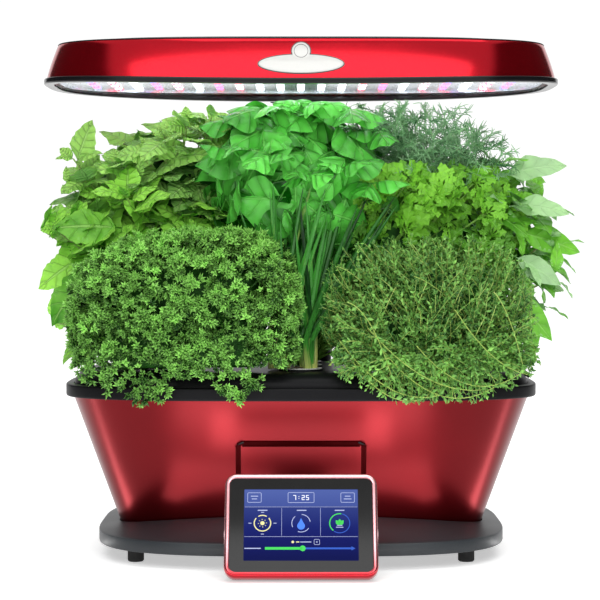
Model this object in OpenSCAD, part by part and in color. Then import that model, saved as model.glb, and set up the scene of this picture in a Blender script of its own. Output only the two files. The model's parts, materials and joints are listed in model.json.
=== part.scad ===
// Countertop hydroponic garden: a lit hood on a telescoping mast over a water bowl,
// with a grow deck of nine pods, a tilting touch screen and nine herbs.
// Millimetres. +Z is up, the front faces -Y, and the origin is on the table under the middle.

/* [Base] */
// Width of the base
base_w = 331; // [325:1:345]
// Reach of the base in front of the bowl's middle
base_front = 127; // [120:1:132]
// Reach of the base behind the bowl's middle
base_back = 125; // [125:1:135]
// Height of the base's upright edge
base_edge_h = 10; // [9:0.5:12]
// Rise of the base's domed top above its edge
base_crown = 15; // [14:0.5:18]
// Wall of the base's moulding
base_wall = 2.4; // [2:0.1:2.8]
// Radius of a foot
foot_r = 6.5; // [5:0.5:8]
// Gap between the table and the base
foot_h = 11; // [9:0.5:14]

/* [Bowl] */
// Width of the bowl's red wall at its top
bowl_w = 374; // [370:1:380]
// Depth of the bowl's red wall at its top
bowl_d = 180; // [176:1:184]
// Width of the bowl at its foot
bowl_foot_w = 298; // [280:1:300]
// Depth of the bowl at its foot
bowl_foot_d = 112; // [104:1:116]
// Height of the bowl
bowl_h = 106; // [100:1:112]
// Thickness of the bowl's red skin
skin_t = 1.4; // [1:0.1:1.8]
// Thickness of the water tank's wall
tank_t = 2; // [1.6:0.1:2.4]
// Width of the pocket in the bowl's front
pocket_w = 102; // [90:1:110]
// Height of the pocket's top edge above the bowl's foot
pocket_h = 74; // [64:1:78]
// Depth of the pocket's floor behind the bowl's front at the pocket's top
pocket_d = 11; // [8:0.5:12]

/* [Deck] */
// Height of the black band round the bowl's top
rim_h = 10; // [8:0.5:12]
// Reach of the band beyond the red wall
rim_lap = 6; // [5:0.5:7]
// Rise of the deck above the band
deck_rise = 11; // [10:0.5:14]
// Thickness of the deck
deck_t = 2.5; // [2:0.1:3]
// Radius of a pod's hole
pod_r = 16.2; // [15:0.2:17]
// Depth of a pod's basket
pod_depth = 46; // [38:1:50]
// Distance between the columns of pods
pod_pitch = 112; // [108:1:112]
// Distance between the rows of pods
row_pitch = 44; // [42:0.5:46]
// Length of the water port's lid
lid_l = 36; // [32:0.5:38]
// Width of the water port's lid
lid_w = 40; // [36:1:44]

/* [Mast] */
// Width of the mast's lowest tube
mast_w = 54; // [50:1:58]
// Thickness of the mast's lowest tube from front to back
mast_d = 20; // [20:0.5:21]
// Height of the lowest tube's top above the table
mast_top = 300; // [285:1:305]
// Wall of each tube
tube_wall = 1.6; // [1.4:0.1:1.8]
// Gap between one tube and the next
tube_gap = 0.4; // [0.3:0.05:0.5]
// Travel of the release button
button_travel = 1.8; // [1.6:0.1:1.8]

/* [Hood] */
// Width of the hood
hood_w = 420; // [412:1:428]
// Depth of the hood
hood_d = 200; // [194:1:201]
// Height of the hood's underside above the table with the mast down
hood_z = 376; // [375:1:384]
// Height of the black trim under the hood
trim_h = 4.6; // [4:0.2:6]
// Height of the red band round the hood
band_h = 31.4; // [29:0.2:36]
// Lean of the band: how far its top lies inside its foot
band_lean = 9; // [7:0.5:11]
// Rise of the hood's lower edge from its middle to its ends
hood_smile = 4.5; // [3:0.5:5]
// Distance between the columns of light diodes
led_pitch = 17.3; // [16:0.1:19]

/* [Screen] */
// Width of the touch screen
screen_w = 115.5; // [110:0.5:120]
// Height of the touch screen
screen_h = 82; // [80:0.5:84]
// Thickness of the touch screen's frame
screen_t = 9; // [8:0.2:9.4]
// Width of the frame round the glass
bezel_w = 4; // [3:0.2:5]
// Lean of the screen from upright
screen_lean = 28; // [25:0.5:30]

/* [Herbs] */
// Reach of the widest herbs to each side
foliage_reach = 228; // [222:1:234]
// Gap between the highest leaf and the hood
foliage_gap = 6; // [4:0.5:10]

/* [Hidden] */

$fn = 48;
sides = 72;
fit = 0.3;
squareness = 3.4;

// The screen reaches furthest forward, so the bowl's middle lies behind the origin.
screen_reach = 52;
front_reach = base_front + screen_reach;
mid_y = (front_reach - base_back) / 2;

base_z = foot_h;
edge_z = base_z + base_edge_h;
bowl_z = edge_z + 1;
rim_z = bowl_z + bowl_h;
band_z = rim_z + rim_h;
deck_z = band_z + deck_rise;
tank_lip = 3;
pod_flange_h = 1.5;
label_h = 0.6;
herb_z = deck_z + pod_flange_h + label_h;
deck_edge = 6.6;

pods = [for (y = [-row_pitch, 0, row_pitch]) for (x = [-pod_pitch, 0, pod_pitch]) [x, y]];

rim_a = bowl_w / 2 + rim_lap;
rim_b = bowl_d / 2 + rim_lap - 1;
collar_wall = 3;
collar_back = 2;
mast_y = mid_y + rim_b + 2.6 + mast_d / 2 + collar_back;
stage_step = 2 * (tube_wall + tube_gap);
middle_w = mast_w - stage_step;
middle_d = mast_d - stage_step;
inner_w = middle_w - stage_step;
inner_d = middle_d - stage_step;
collar_h = 14;

hood_y = mid_y;
band_z0 = hood_z + trim_h;
band_top = band_z0 + band_h;
tray_z = hood_z + 8.2;
tray_t = 1;
board_t = 1.6;
board_top = tray_z + tray_t + board_t;
lens_z = hood_z + 5.4;
tongue_z = band_z0 + 11;
tongue_h = 13;

hinge_back = 18;
hinge_up = 34;

// ---- shared shapes ----

function signed_pow(v, p) = sign(v) * pow(abs(v), p);

// A squarish oval of half sizes a and b, as count points, at height z.
function oval(a, b, z, n = squareness, count = sides) =
    [for (i = [0 : count - 1]) let (t = 360 * (i + 0.5) / count)
        [a * signed_pow(cos(t), 2 / n), b * signed_pow(sin(t), 2 / n), z]];

// The base is squarer at the back than at the front.
function base_ring(inset, z) =
    [for (i = [0 : sides - 1]) let (t = 360 * (i + 0.5) / sides, back = sin(t) > 0,
        b = (back ? base_back : base_front) - inset, p = 2 / (back ? 4 : 3.2))
        [(base_w / 2 - inset) * signed_pow(cos(t), p), b * signed_pow(sin(t), p), z]];

function flat(ring) = [for (p = ring) [p[0], p[1]]];

// Lifts a ring's points towards the hood's ends.
function smiled(ring) =
    [for (p = ring) [p[0], p[1], p[2] + hood_smile * pow(p[0] / (hood_w / 2), 2)]];

function side_faces(levels, count, last) =
    [for (k = [0 : last]) for (i = [0 : count - 1])
        let (a = k * count, b = ((k + 1) % levels) * count, j = (i + 1) % count)
        each [[a + i, b + j, a + j], [a + i, b + i, b + j]]];

// A solid through rings of equal count, from the lowest ring up, closed by its end rings.
module loft(rings) {
    count = len(rings[0]);
    levels = len(rings);
    polyhedron([for (r = rings) each r],
        concat(side_faces(levels, count, levels - 2),
            [[for (i = [0 : count - 1]) i], [for (i = [count - 1 : -1 : 0]) (levels - 1) * count + i]]),
        convexity = 6);
}

// A closed ring: its section runs through the rings and back to the first.
module hoop(rings) {
    count = len(rings[0]);
    levels = len(rings);
    polyhedron([for (r = rings) each r], side_faces(levels, count, levels - 1), convexity = 6);
}

module stadium(w, d) {
    square([w - d, d], center = true);
    for (s = [-1, 1]) translate([s * (w - d) / 2, 0]) circle(d = d);
}

module rounded_rect(w, h, r) {
    square([w - 2 * r, h], center = true);
    square([w, h - 2 * r], center = true);
    for (sx = [-1, 1], sy = [-1, 1]) translate([sx * (w / 2 - r), sy * (h / 2 - r)]) circle(r);
}

module stadium_tube(w, d, wall, z, h) {
    translate([0, mast_y, z]) linear_extrude(h) difference() {
        stadium(w, d);
        stadium(w - 2 * wall, d - 2 * wall);
    }
}

module screw(r, l) {
    cylinder(r = r, h = l);
    cylinder(r = 2 * r, h = r);
}

module at_middle() {
    translate([0, mid_y, 0]) children();
}

// ---- base ----

// How far a point lies towards the base's outline: 0 in the middle, 1 on it.
function base_share(x, y) =
    let (back = y > 0, n = back ? 4 : 3.2, b = back ? base_back : base_front)
    pow(pow(abs(x) / (base_w / 2), n) + pow(abs(y) / b, n), 1 / n);

function dome_z(x, y) = edge_z + base_crown * (1 - pow(min(1, base_share(x, y)), 2));

seat_a = bowl_foot_w / 2 + 1.4;
seat_b = bowl_foot_d / 2 + 4.6;

// A ring on the dome, from the outline (k = 0) to the bowl's opening (k = 1), lowered by drop.
function dome_ring(k, inset, drop) =
    let (out = base_ring(inset, 0), seat = oval(seat_a + inset, seat_b + inset, 0))
    [for (i = [0 : sides - 1])
        let (x = out[i][0] * (1 - k) + seat[i][0] * k, y = out[i][1] * (1 - k) + seat[i][1] * k)
        [x, y, dome_z(x, y) - drop]];

// The moulding in one skin: under the seat, out and down inside, then up and in outside.
module base_moulding() {
    w = base_wall;
    loft([oval(seat_a + w, seat_b + w, bowl_z - 2), dome_ring(1, w, w), dome_ring(0.4, w, w),
        base_ring(w, edge_z - w), base_ring(w, base_z), base_ring(1, base_z), base_ring(0, base_z + 1),
        base_ring(0, edge_z), dome_ring(0.15, 0, 0), dome_ring(0.4, 0, 0), dome_ring(0.7, 0, 0),
        dome_ring(1, 0, 0), oval(seat_a, seat_b, bowl_z)]);
}

base_boss_xy = [for (sx = [-1, 1]) each [[sx * 128, -62], [sx * 132, 70]]];
foot_xy = [for (sx = [-1, 1]) each [[sx * 131, -80], [sx * 132, 88]]];
inlet_x = 74;
inlet_z = base_z + 6;
inlet_r = 3.6;
inlet_l = 13;
plate_t = 2;
plate_inset = base_wall + fit;

boss_top = edge_z + 3.2;

module base_shell() {
    color([0.2, 0.2, 0.22]) at_middle() difference() {
        union() {
            base_moulding();
            for (p = base_boss_xy) translate([p[0], p[1], base_z + plate_t])
                cylinder(r = 4, h = boss_top - base_z - plate_t);
        }
        for (p = base_boss_xy) translate([p[0], p[1], base_z]) cylinder(r = 1.4, h = 7);
        translate([0, mast_y - mid_y, base_z - 1]) linear_extrude(60)
            stadium(mast_w + 2 * collar_wall + 2 * fit, mast_d + 2 * collar_back + 2 * fit);
        translate([inlet_x, base_back - inlet_l - 1, inlet_z]) rotate([-90, 0, 0])
            cylinder(r = inlet_r, h = inlet_l + 6);
        arm_slot();
    }
}

module base_plate() {
    color([0.1, 0.1, 0.11]) at_middle() difference() {
        translate([0, 0, base_z]) linear_extrude(plate_t) polygon(flat(base_ring(plate_inset, 0)));
        for (p = base_boss_xy) translate([p[0], p[1], base_z - 1]) cylinder(r = 1.7, h = plate_t + 2);
    }
}

module base_feet() {
    color([0.05, 0.05, 0.05]) at_middle() for (p = foot_xy) translate([p[0], p[1], 0]) {
        cylinder(r1 = foot_r - 0.8, r2 = foot_r, h = 1);
        translate([0, 0, 1]) cylinder(r = foot_r, h = base_z - 1);
    }
}

module base_screws() {
    color([0.6, 0.6, 0.62]) at_middle() for (p = base_boss_xy) translate([p[0], p[1], base_z - 1.3])
        screw(1.3, 8);
}

module control_board() {
    board_z = base_z + plate_t + 1.5;
    color([0.1, 0.35, 0.2]) at_middle() translate([0, 68, board_z]) {
        translate([-45, -14, 0]) cube([90, 28, 1.6]);
        for (x = [-30, 5, 28]) translate([x, -6, 1.6]) cube([12, 12, 1.8]);
        for (sx = [-1, 1], sy = [-1, 1]) translate([sx * 40, sy * 10, -1.5]) cylinder(r = 2, h = 1.5);
    }
}

module power_inlet() {
    color([0.05, 0.05, 0.05]) at_middle() translate([inlet_x, base_back - 0.4, inlet_z]) rotate([90, 0, 0]) {
        difference() {
            cylinder(r = inlet_r - 0.05, h = inlet_l);
            translate([0, 0, -1]) cylinder(r = 2.4, h = 10);
        }
        translate([0, 0, 1]) cylinder(r = 0.9, h = 9);
    }
}

// ---- bowl ----

pocket_base_d = 4;
pocket_r = 8;
pocket_lip = 4.5;

function bowl_half(z, inset) =
    let (s = (z - bowl_z) / bowl_h)
    [bowl_foot_w / 2 + s * (bowl_w - bowl_foot_w) / 2 - inset,
        bowl_foot_d / 2 + s * (bowl_d - bowl_foot_d) / 2 - inset];

pocket_z = bowl_z + pocket_h - pocket_lip;
pocket_top_b = bowl_foot_d / 2 + (bowl_d - bowl_foot_d) / 2 * pocket_h / bowl_h;

// Half width of the pocket at height z: its top corners are rounded.
function pocket_half(z, inset) =
    let (top = pocket_z + inset, r = pocket_r, up = min(r, max(0, z - top + r)))
    pocket_w / 2 + inset - r + sqrt(r * r - up * up);

// The pocket's floor, as a distance in front of the bowl's middle.
function pocket_floor(z, inset) =
    let (s = (z - bowl_z) / (pocket_z - bowl_z), low = bowl_foot_d / 2 - pocket_base_d)
    low + s * (pocket_top_b - pocket_d - low) - inset;

// A ring round the bowl with the pocket pressed into its front, from the pocket's right edge round.
function bowl_ring(z, inset, pressed) =
    let (h = bowl_half(z, inset), w = pocket_half(z, inset), n = squareness, edge = 0.7, arc = 52, across = 6,
        t0 = acos(pow((w + edge) / h[0], n / 2)))
    concat([for (i = [0 : arc]) let (t = -t0 + (180 + 2 * t0) * i / arc)
            [h[0] * signed_pow(cos(t), 2 / n), h[1] * signed_pow(sin(t), 2 / n), z]],
        [for (i = [0 : across]) let (x = -w + 2 * w * i / across)
            [x, pressed ? 0.4 * pow(x / w, 2) - pocket_floor(z, inset)
                : -h[1] * pow(1 - pow(abs(x) / h[0], n), 1 / n), z]]);

// The rings of one side of the bowl's wall, from its foot to height top.
function bowl_side(inset, low, top) =
    let (z1 = pocket_z + inset)
    concat([for (z = [low, z1 - pocket_r, z1 - pocket_r * 0.55, z1 - pocket_r * 0.2, z1])
            bowl_ring(z, inset, true)],
        [for (z = [z1 + pocket_lip, (z1 + pocket_lip + top) / 2, top]) bowl_ring(z, inset, false)]);

function turned(rings) = [for (i = [len(rings) - 1 : -1 : 0]) rings[i]];

module bowl_skin() {
    color([0.62, 0.05, 0.08]) at_middle()
        loft(concat(bowl_side(0, bowl_z, rim_z), turned(bowl_side(skin_t, bowl_z + skin_t, rim_z))));
}

tank_gap = 0.4;

module water_tank() {
    outer = skin_t + tank_gap;
    inner = outer + tank_t;
    low = bowl_z + skin_t;
    lip_a = bowl_w / 2 + 3;
    lip_b = bowl_d / 2 + 3;
    color([0.08, 0.08, 0.09]) at_middle()
        loft(concat(bowl_side(outer, low, rim_z),
            [lip_ring(lip_a, lip_b, rim_z), lip_ring(lip_a, lip_b, rim_z + tank_lip)],
            [bowl_ring(rim_z + tank_lip, inner, false)],
            turned(bowl_side(inner, low + tank_t, rim_z - 1))));
}

function lip_ring(a, b, z) =
    [for (p = bowl_ring(rim_z, 0, false)) [p[0] * a / (bowl_w / 2), p[1] * b / (bowl_d / 2), z]];

// ---- deck ----

deck_a = rim_a - deck_edge;
deck_b = rim_b - deck_edge;

module deck_band() {
    lip = tank_lip + fit;
    color([0.07, 0.07, 0.08]) at_middle() hoop([
        oval(rim_a - 0.8, rim_b - 0.8, rim_z), oval(rim_a, rim_b, rim_z + 0.8),
        oval(rim_a, rim_b, band_z - 1), oval(rim_a - 1, rim_b - 1, band_z),
        oval(deck_a + fit, deck_b + fit, band_z),
        oval(deck_a + fit, deck_b + fit, rim_z + lip + 2),
        oval(deck_a - 3, deck_b - 3, rim_z + lip + 2),
        oval(deck_a - 3, deck_b - 3, rim_z + lip),
        oval(bowl_w / 2 + 3 + fit, bowl_d / 2 + 3 + fit, rim_z + lip),
        oval(bowl_w / 2 + 3 + fit, bowl_d / 2 + 3 + fit, rim_z)]);
}

skirt_w = 14;
port_l = lid_l - 10;
port_w = lid_w - 10;
hinge_x = deck_a - 52;
pin_r = 1.2;
pin_z = deck_z + 3.4;
lug_w = 5;

// The domed edge of the deck, as a hoop from its underside out and over to its top.
module deck_skirt() {
    foot = rim_z + tank_lip + fit + 2;
    shoulder = deck_rise / 11;
    color([0.09, 0.09, 0.1]) at_middle() hoop([
        oval(deck_a - skirt_w - 1, deck_b - skirt_w - 1, deck_z - deck_t),
        oval(deck_a - 3 - deck_t, deck_b - 3 - deck_t, band_z + 5.6 * shoulder - deck_t),
        oval(deck_a - deck_t, deck_b - deck_t, foot), oval(deck_a, deck_b, foot),
        oval(deck_a, deck_b, band_z + 0.6), oval(deck_a - 2.6, deck_b - 2.6, band_z + 6.2 * shoulder),
        oval(deck_a - 7.6, deck_b - 7.6, band_z + 9.6 * shoulder),
        oval(deck_a - skirt_w, deck_b - skirt_w, deck_z)]);
}

// The flat middle of the deck, with a hole for each pod and one to fill the tank.
module grow_deck() {
    color([0.09, 0.09, 0.1]) at_middle() difference() {
        loft([oval(deck_a - skirt_w - 1, deck_b - skirt_w - 1, deck_z - deck_t),
            oval(deck_a - skirt_w, deck_b - skirt_w, deck_z)]);
        for (p = pods) translate([p[0], p[1], deck_z - 10]) cylinder(r = pod_r, h = 20);
        translate([hinge_x + 6 + port_l / 2, 0, deck_z - 10]) linear_extrude(20)
            rounded_rect(port_l, port_w, 4);
    }
}

// Two lugs that stand on the deck and hold the lid's pin.
module lid_lugs() {
    color([0.09, 0.09, 0.1]) at_middle() difference() {
        for (s = [-1, 1]) translate([hinge_x, s * (lid_w / 2 - lug_w / 2), deck_z]) {
            translate([-3, -lug_w / 2, 0]) cube([6, lug_w, pin_z - deck_z]);
            translate([0, lug_w / 2, pin_z - deck_z]) rotate([90, 0, 0]) cylinder(r = 3, h = lug_w);
        }
        translate([hinge_x, -lid_w, pin_z]) rotate([-90, 0, 0]) cylinder(r = pin_r + 0.02, h = 2 * lid_w);
    }
}

module port_lid() {
    knuckle_w = lid_w - 2 * lug_w - 2 * fit;
    s = deck_rise / 11;
    lid_bottom = [[hinge_x + 4, deck_z + fit], [deck_a - 14, deck_z + fit],
        [deck_a - 7.2, band_z + 9.9 * s], [deck_a - 2.1, band_z + 6.6 * s], [deck_a + 0.6, band_z + 3 * s]];
    lid_top = [[deck_a + 2.6, band_z + 4.2 * s], [deck_a + 0.2, band_z + 8 * s],
        [deck_a - 6.2, band_z + 12.2 * s], [deck_a - 13, deck_z + 2.6], [hinge_x + 4, deck_z + 2.6]];
    color([0.05, 0.05, 0.05]) at_middle() difference() {
        union() {
            translate([0, lid_w / 2, 0]) rotate([90, 0, 0]) linear_extrude(lid_w)
                polygon(concat(lid_bottom, lid_top));
            translate([hinge_x, knuckle_w / 2, pin_z]) rotate([90, 0, 0]) cylinder(r = 2.8, h = knuckle_w);
            translate([hinge_x, -knuckle_w / 2, deck_z + 0.7]) cube([5, knuckle_w, 2]);
        }
        translate([hinge_x, -lid_w, pin_z]) rotate([-90, 0, 0]) cylinder(r = pin_r + 0.05, h = 2 * lid_w);
        for (s = [-1, 1]) translate([hinge_x - 4, s * (lid_w - lug_w) / 2 - lug_w / 2 - fit, deck_z - 1])
            cube([8, lug_w + 2 * fit, 10]);
    }
}

module port_lid_pin() {
    color([0.7, 0.7, 0.7]) at_middle() translate([hinge_x, -lid_w / 2, pin_z]) rotate([-90, 0, 0])
        cylinder(r = pin_r, h = lid_w);
}

// ---- pods ----

basket_wall = 1.2;
basket_r = pod_r - 0.2;
sponge_r = 9;

module grow_basket() {
    difference() {
        union() {
            cylinder(r = pod_r + 2.2, h = pod_flange_h);
            translate([0, 0, -pod_depth]) cylinder(r1 = basket_r - 4, r2 = basket_r, h = pod_depth);
        }
        translate([0, 0, -pod_depth + basket_wall])
            cylinder(r1 = basket_r - 4 - basket_wall, r2 = basket_r - basket_wall, h = pod_depth + 2);
        for (a = [45, 135]) rotate(a) translate([-30, -4, -pod_depth + 8]) cube([60, 8, pod_depth - 16]);
    }
}

module grow_baskets() {
    color([0.12, 0.12, 0.13]) at_middle() for (p = pods) translate([p[0], p[1], deck_z]) grow_basket();
}

module grow_sponges() {
    color([0.32, 0.24, 0.16]) at_middle() for (p = pods)
        translate([p[0], p[1], deck_z - pod_depth + basket_wall])
        cylinder(r1 = sponge_r - 2, r2 = sponge_r, h = herb_z - deck_z + pod_depth - basket_wall);
}

module pod_labels() {
    color([0.93, 0.93, 0.9]) at_middle() for (p = pods) translate([p[0], p[1], deck_z + pod_flange_h])
        difference() {
            cylinder(r = pod_r + 1, h = label_h);
            translate([0, 0, -1]) cylinder(r = sponge_r + 0.3, h = label_h + 2);
        }
}

// ---- pump, riser and float ----

tank_floor = bowl_z + skin_t + tank_t;
pump_x = 84;
pump_y = 2;
pump_h = 30;
rotor_r = 9;
shaft_r = 1;

module pump_housing() {
    color([0.13, 0.13, 0.14]) at_middle() translate([pump_x, pump_y, tank_floor]) difference() {
        union() {
            translate([-20, -16, 0]) cube([40, 32, pump_h]);
            translate([0, 22, 8]) cylinder(r = 6.5, h = pump_h - 8);
            translate([-5, 14, 8]) cube([10, 8, pump_h - 8]);
        }
        translate([0, 0, 8]) cylinder(r = rotor_r + 1.5, h = pump_h);
        translate([0, 0, 12]) rotate([-90, 0, 0]) cylinder(r = 2.5, h = 22);
        translate([0, 22, 12]) cylinder(r = 3.4, h = pump_h);
        translate([0, 0, 2]) cylinder(r = shaft_r + 0.05, h = 10);
    }
}

module pump_impeller() {
    color([0.85, 0.85, 0.8]) at_middle() translate([pump_x, pump_y, tank_floor]) {
        translate([0, 0, 3]) cylinder(r = shaft_r, h = 6);
        translate([0, 0, 9]) cylinder(r = 4, h = 15);
        for (a = [0 : 60 : 300]) rotate(a) translate([3, -0.6, 9]) cube([rotor_r - 3, 1.2, 8]);
    }
}

module pump_strainer() {
    color([0.1, 0.1, 0.1]) at_middle() translate([pump_x, pump_y, tank_floor + pump_h]) difference() {
        cylinder(r = rotor_r + 4, h = 3);
        for (x = [-6 : 4 : 6]) translate([x - 0.8, -7, -1]) cube([1.6, 14, 5]);
    }
}

module riser_tube() {
    h = deck_z - deck_t - 4 - tank_floor - 12;
    color([0.75, 0.78, 0.8]) at_middle() translate([pump_x, pump_y + 22, tank_floor + 12]) difference() {
        cylinder(r = 3.2, h = h);
        translate([0, 0, -1]) cylinder(r = 2, h = h + 2);
    }
}

float_x = -62;
float_r = 12;
float_h = 14;

module float_guide() {
    color([0.2, 0.2, 0.2]) at_middle() translate([float_x, 0, tank_floor]) {
        cylinder(r = 9, h = 3);
        cylinder(r = 2, h = 78);
        translate([0, 0, 76]) cylinder(r = 5, h = 2);
    }
}

module float_body() {
    color([0.9, 0.9, 0.88]) at_middle() translate([float_x, 0, tank_floor + 3]) difference() {
        cylinder(r = float_r, h = float_h);
        translate([0, 0, -1]) cylinder(r = 2.4, h = float_h + 2);
    }
}

// ---- mast ----

socket_h = 34;
socket_z = base_z + plate_t;

module mast_socket() {
    color([0.12, 0.12, 0.13]) translate([0, mast_y, socket_z]) linear_extrude(socket_h) difference() {
        stadium(mast_w + 2 * collar_wall, mast_d + 2 * collar_back);
        stadium(mast_w + 0.2, mast_d + 0.2);
    }
}

module mast_outer() {
    color([0.1, 0.1, 0.11]) difference() {
        stadium_tube(mast_w, mast_d, tube_wall, socket_z, mast_top - socket_z);
        translate([0, mast_y + mast_d / 2 + 5, latch_z]) rotate([90, 0, 0])
            cylinder(r = button_r + 0.4, h = 10);
    }
}

latch_z = mast_top - 18;
button_r = 4;

module outer_collar() {
    color([0.08, 0.08, 0.09]) difference() {
        translate([0, mast_y, mast_top - 30]) linear_extrude(36)
            stadium(mast_w + 2 * collar_wall, mast_d + 2 * collar_back);
        translate([0, mast_y, mast_top - 31]) linear_extrude(31) stadium(mast_w + 0.2, mast_d + 0.2);
        translate([0, mast_y, mast_top - 1]) linear_extrude(10)
            stadium(middle_w + 2 * tube_gap, middle_d + 2 * tube_gap);
        translate([0, mast_y + mast_d / 2 + 8, latch_z]) rotate([90, 0, 0])
            cylinder(r = button_r + 0.08, h = 10);
    }
}

module release_button() {
    color([0.5, 0.5, 0.52]) translate([0, mast_y + mast_d / 2 + collar_back + button_travel + 0.6, latch_z])
        rotate([90, 0, 0]) cylinder(r = button_r, h = collar_back + button_travel + 0.4);
}

middle_z = base_z + 16;
middle_top = mast_top + 6 + fit;

module mast_middle() {
    color([0.75, 0.76, 0.78])
        stadium_tube(middle_w, middle_d, tube_wall, middle_z, middle_top - middle_z + 9);
}

module middle_collar() {
    color([0.08, 0.08, 0.09]) difference() {
        translate([0, mast_y, middle_top]) linear_extrude(13) stadium(middle_w + 6, middle_d + 6);
        translate([0, mast_y, middle_top - 1]) linear_extrude(10) stadium(middle_w + 0.2, middle_d + 0.2);
        translate([0, mast_y, middle_top + 8]) linear_extrude(10)
            stadium(inner_w + 2 * tube_gap, inner_d + 2 * tube_gap);
    }
}

inner_z = middle_z + 12;
inner_top = tongue_z + tongue_h - 3;

module mast_inner() {
    color([0.8, 0.81, 0.83]) stadium_tube(inner_w, inner_d, tube_wall, inner_z, inner_top - inner_z);
}

// ---- hood ----

bracket_d = 2 * (mast_y - hood_y - hood_d / 2 - 0.4);

module hood_bracket() {
    front = hood_y + hood_d / 2 - 40;
    color([0.08, 0.08, 0.09]) difference() {
        union() {
            translate([0, mast_y, hood_z]) linear_extrude(tongue_z + tongue_h - hood_z)
                stadium(mast_w, bracket_d);
            translate([-24, front, tongue_z]) cube([48, mast_y - front, tongue_h]);
        }
        translate([0, mast_y, hood_z - 1]) linear_extrude(inner_top - hood_z + 1)
            stadium(inner_w + 0.2, inner_d + 0.2);
        for (x = [-16, 16]) translate([x, front + 8, tongue_z - 1]) cylinder(r = 1.7, h = tongue_h + 2);
    }
}

hood_a = hood_w / 2;
hood_b = hood_d / 2;

module notch() {
    translate([-24.6, mast_y - 40, tongue_z - 0.4]) cube([49.2, 60, tongue_h + 0.8]);
}

module hood_trim() {
    w = 8;
    color([0.07, 0.07, 0.08]) translate([0, hood_y, 0]) hoop([for (r = [
        oval(hood_a - 1.2, hood_b - 1.2, hood_z), oval(hood_a, hood_b, hood_z + 1),
        oval(hood_a, hood_b, hood_z + trim_h - 0.8), oval(hood_a - 0.8, hood_b - 0.8, hood_z + trim_h),
        oval(hood_a - w, hood_b - w, hood_z + trim_h),
        oval(hood_a - w, hood_b - w, hood_z)]) smiled(r)]);
}

function band_ring(inset, k) =
    let (s = k, lean = band_lean * s, rise = band_h * s,
        r = oval(hood_a - 2 - lean - inset, hood_b - 2 - lean - inset, band_z0 + rise))
    [for (p = r) [p[0], p[1], p[2] + (1 - s) * hood_smile * pow(p[0] / hood_a, 2)]];

module hood_band() {
    t = 1.4;
    color([0.7, 0.06, 0.09]) difference() {
        translate([0, hood_y, 0]) hoop([band_ring(0, 0), band_ring(0, 0.5), band_ring(0, 1),
            band_ring(t, 1), band_ring(t, 0.5), band_ring(t, 0)]);
        notch();
    }
}

cover_rise = 6;

module hood_cover() {
    a = hood_a - 2 - band_lean;
    b = hood_b - 2 - band_lean;
    z = band_top + 1.4;
    color([0.06, 0.06, 0.07]) {
        translate([0, hood_y, 0]) difference() {
            loft([oval(a - 60, b - 60, z - 2 + cover_rise), oval(a - 36, b - 36, z - 2 + cover_rise * 0.9),
                oval(a - 14, b - 14, z - 2 + cover_rise * 0.5), oval(a - 3, b - 3, z - 1),
                oval(a - 3, b - 3, band_top), oval(a, b, band_top), oval(a - 0.6, b - 0.6, z),
                oval(a - 12, b - 12, z + cover_rise * 0.5), oval(a - 34, b - 34, z + cover_rise * 0.9),
                oval(a - 60, b - 60, z + cover_rise)]);
            for (x = [-78 : 12 : 78]) translate([x, 0, band_top]) linear_extrude(20) stadium_y(5, 40);
        }
        for (x = [-16, 16]) translate([x, hood_y + hood_d / 2 - 32, 0])
            boss_column(tongue_z + tongue_h, band_top + 0.7 * cover_rise);
        for (s = [-1, 1]) translate([s * (hood_a - 42), hood_y, 0])
            boss_column(board_top, band_top + 0.85 * cover_rise);
    }
}

module boss_column(low, high) {
    difference() {
        translate([0, 0, low]) cylinder(r = 3.6, h = high - low);
        translate([0, 0, low - 1]) cylinder(r = 1.35, h = 8);
    }
}

module stadium_y(w, l) {
    square([w, l - w], center = true);
    for (s = [-1, 1]) translate([0, s * (l - w) / 2]) circle(d = w);
}

module hood_screws() {
    color([0.7, 0.7, 0.72]) for (x = [-16, 16])
        translate([x, hood_y + hood_d / 2 - 32, tongue_z - 1.3]) screw(1.3, tongue_h + 5);
}

// A plain oval plate with a round tab on top, on the band's front.
module hood_badge() {
    plate_w = 67;
    plate_h = 15.6;
    share = 0.35;
    lean = atan(band_lean / band_h);
    front = hood_b - 2 - band_lean * share;
    color([0.93, 0.92, 0.9]) translate([0, hood_y - front - 0.05, band_z0 + band_h * share])
        rotate([90 - lean, 0, 0]) linear_extrude(0.9) {
            polygon([for (i = [0 : 59]) [plate_w / 2 * cos(6 * i), plate_h / 2 * sin(6 * i)]]);
            translate([0, 10.4]) circle(r = 7.4);
        }
}

tray_a = hood_a - 12;
tray_b = hood_b - 12;

module reflector() {
    color([0.75, 0.77, 0.8]) translate([0, hood_y, 0]) {
        translate([0, 0, tray_z]) linear_extrude(tray_t) polygon(flat(oval(tray_a, tray_b, 0)));
        translate([0, 0, lens_z + 1.2]) linear_extrude(tray_z - lens_z - 1.2) difference() {
            polygon(flat(oval(tray_a, tray_b, 0)));
            polygon(flat(oval(tray_a - 1.5, tray_b - 1.5, 0)));
        }
    }
}

module led_board() {
    color([0.85, 0.86, 0.86]) translate([0, hood_y, tray_z + tray_t]) linear_extrude(board_t)
        polygon(flat(oval(tray_a - 6, tray_b - 6, 0)));
}

led_rows = 9;
led_row_pitch = 15.5;
led_columns = 11;
led_r = 2.4;

function in_tray(x, y) = pow(abs(x) / (tray_a - 8), squareness) + pow(abs(y) / (tray_b - 8), squareness) < 1;
// Columns near the middle are white; further out, red and blue alternate with white.
function led_kind(c, r) =
    let (d = abs(c), odd = abs(r) % 2 == 1)
    d < 3 || d % 3 == 2 ? 0 : d % 3 == 0 ? (odd ? 0 : 1) : (odd ? 2 : 1);

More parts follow.
